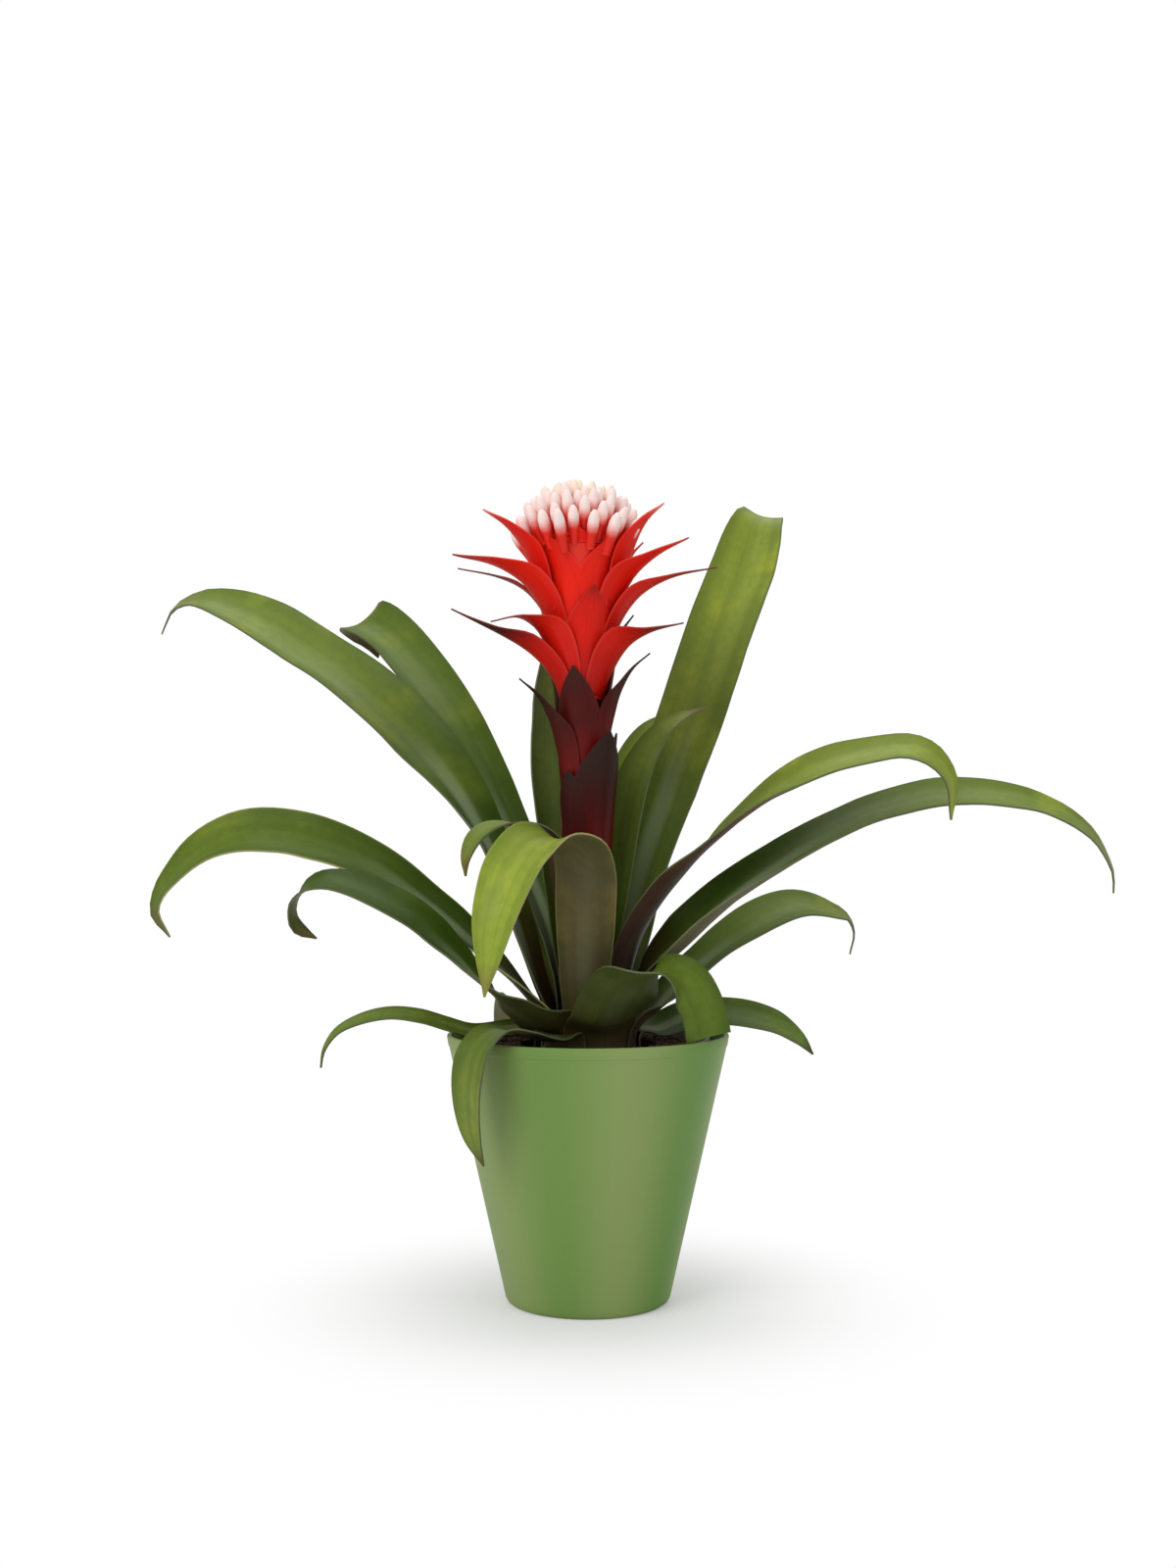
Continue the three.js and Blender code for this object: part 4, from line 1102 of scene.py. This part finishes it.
def make_soil():
    """The potting mix: a rough top with loose crumbs and chips of bark round the crown."""
    top, foot, edge, rings, gap = 0.1345, 0.044, 0.0592, 8, SEAT_GAP * MM
    hole = CROWN_HIGH.x + gap
    surface = [(blend(edge, hole, i / rings), top) for i in range(rings + 1)]
    soil = turned("potting_mix", [(foot, SOIL_LOW.z), (edge, top - 0.003), *surface,
                                  (hole, CROWN_LOW.z - gap)])
    mesh = into_edit(soil)
    for point in mesh.verts:
        radius = point.co.to_2d().length
        point.select = point.co.z > top - gap and hole + gap < radius < edge - gap
    bpy.ops.transform.vertex_random(offset=0.0012, uniform=0.6, normal=0.4, seed=3)
    leave_edit()
    draw = random.Random(CRUMB_SEED)
    bpy.ops.mesh.primitive_ico_sphere_add(subdivisions=1, radius=CRUMB_RADIUS, location=(0, 0, 0))
    chip = bpy.context.active_object
    crumbs = [soil]
    for i in range(CRUMBS):
        copy = copy_of(chip, f"crumb_{i}")
        place = compass(draw.uniform(0, 360)) * draw.uniform(hole + 0.002, edge - CRUMB_RADIUS)
        into_edit(copy)
        bpy.ops.mesh.select_all(action="SELECT")
        size = (draw.uniform(0.5, 1.6), draw.uniform(0.5, 1.4), draw.uniform(0.4, 0.9))
        bpy.ops.transform.resize(value=size, center_override=(0, 0, 0))
        bpy.ops.transform.rotate(value=draw.uniform(0, 6), orient_axis="Z", center_override=(0, 0, 0))
        bpy.ops.transform.translate(value=(place.x, place.y, top + draw.uniform(0, 0.0006)))
        leave_edit()
        crumbs.append(copy)
    bpy.data.objects.remove(chip)
    soil = joined("potting_mix", crumbs)
    give_materials(soil, peat())
    rides_for(soil, "soil")


def dress_crown():
    """The crown keeps its own shape and only gets its finish."""
    give_materials(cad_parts["crown"], crown_fibre())


# The studio

LIT_PLACE = Vector((0, 0, 0.2))


def make_floor():
    """A plain white floor that melts into the white background away from the pot."""
    deselect_all()
    bpy.ops.mesh.primitive_plane_add(size=30, location=(0, 0, 0))
    floor = bpy.context.active_object
    floor.name = "studio_floor"
    material, tree, shader = new_material("studio_paper", Roughness=0.9, Specular_IOR_Level=0.1)
    shader.inputs["Base Color"].default_value = (0.9, 0.9, 0.9, 1.0)
    away = tree.nodes.new("ShaderNodeVectorMath")
    away.operation = "LENGTH"
    feed(tree, away.inputs[0], texture_place(tree, "Object"))
    seen = tree.nodes.new("ShaderNodeLightPath").outputs["Is Camera Ray"]
    fade = maths(tree, "MULTIPLY", eased(tree, away.outputs["Value"], 0.03, 0.2, 0.25), seen)
    glow = tree.nodes.new("ShaderNodeEmission")
    join = tree.nodes.new("ShaderNodeMixShader")
    feed(tree, join.inputs[0], fade)
    feed(tree, join.inputs[1], shader.outputs["BSDF"])
    feed(tree, join.inputs[2], glow.outputs["Emission"])
    feed(tree, tree.nodes["Material Output"].inputs["Surface"], join.outputs["Shader"])
    give_materials(floor, material)


def make_light(name, place, size, power):
    """A square softbox that faces the plant."""
    data = bpy.data.lights.new(name, "AREA")
    data.shape = "SQUARE"
    data.size = size
    data.energy = power
    light = bpy.data.objects.new(name, data)
    light.location = place
    light.rotation_euler = (LIT_PLACE - Vector(place)).to_track_quat("-Z", "Y").to_euler()
    bpy.context.scene.collection.objects.link(light)


def make_lights():
    """Three softboxes and a dim white world, which the camera sees as pure white."""
    make_light("key_softbox", (-1.0, -1.3, 1.5), 1.2, 17)
    make_light("fill_softbox", (1.5, -0.9, 0.9), 1.2, 4)
    make_light("top_softbox", (0.1, 0.5, 1.9), 1.4, 12)
    world = bpy.data.worlds.new("studio")
    world.use_nodes = True
    tree = world.node_tree
    dim = tree.nodes["Background"]
    dim.inputs["Color"].default_value = (1, 1, 1, 1)
    dim.inputs["Strength"].default_value = 0.5
    white = tree.nodes.new("ShaderNodeBackground")
    white.inputs["Color"].default_value = (1, 1, 1, 1)
    join = tree.nodes.new("ShaderNodeMixShader")
    feed(tree, join.inputs[0], tree.nodes.new("ShaderNodeLightPath").outputs["Is Camera Ray"])
    feed(tree, join.inputs[1], dim.outputs["Background"])
    feed(tree, join.inputs[2], white.outputs["Background"])
    feed(tree, tree.nodes["World Output"].inputs["Surface"], join.outputs["Shader"])
    bpy.context.scene.world = world


def make_camera():
    """The photograph's view: level with the middle of the plant and a little raised."""
    eye, aim, lens = Vector((0, -0.9, 0.233)), Vector((0, 0, 0.273)), 38.5
    data = bpy.data.cameras.new("camera")
    data.lens = lens
    data.sensor_width = 36
    camera = bpy.data.objects.new("camera", data)
    camera.location = eye
    camera.rotation_euler = (aim - eye).to_track_quat("-Z", "Y").to_euler()
    bpy.context.scene.collection.objects.link(camera)
    bpy.context.scene.camera = camera
    bpy.context.scene.view_settings.view_transform = "Standard"


make_camera()
make_lights()
make_floor()
make_outer_pot()
make_inner_pot()
make_soil()
dress_crown()
make_leaves()
make_flower()
make_florets()
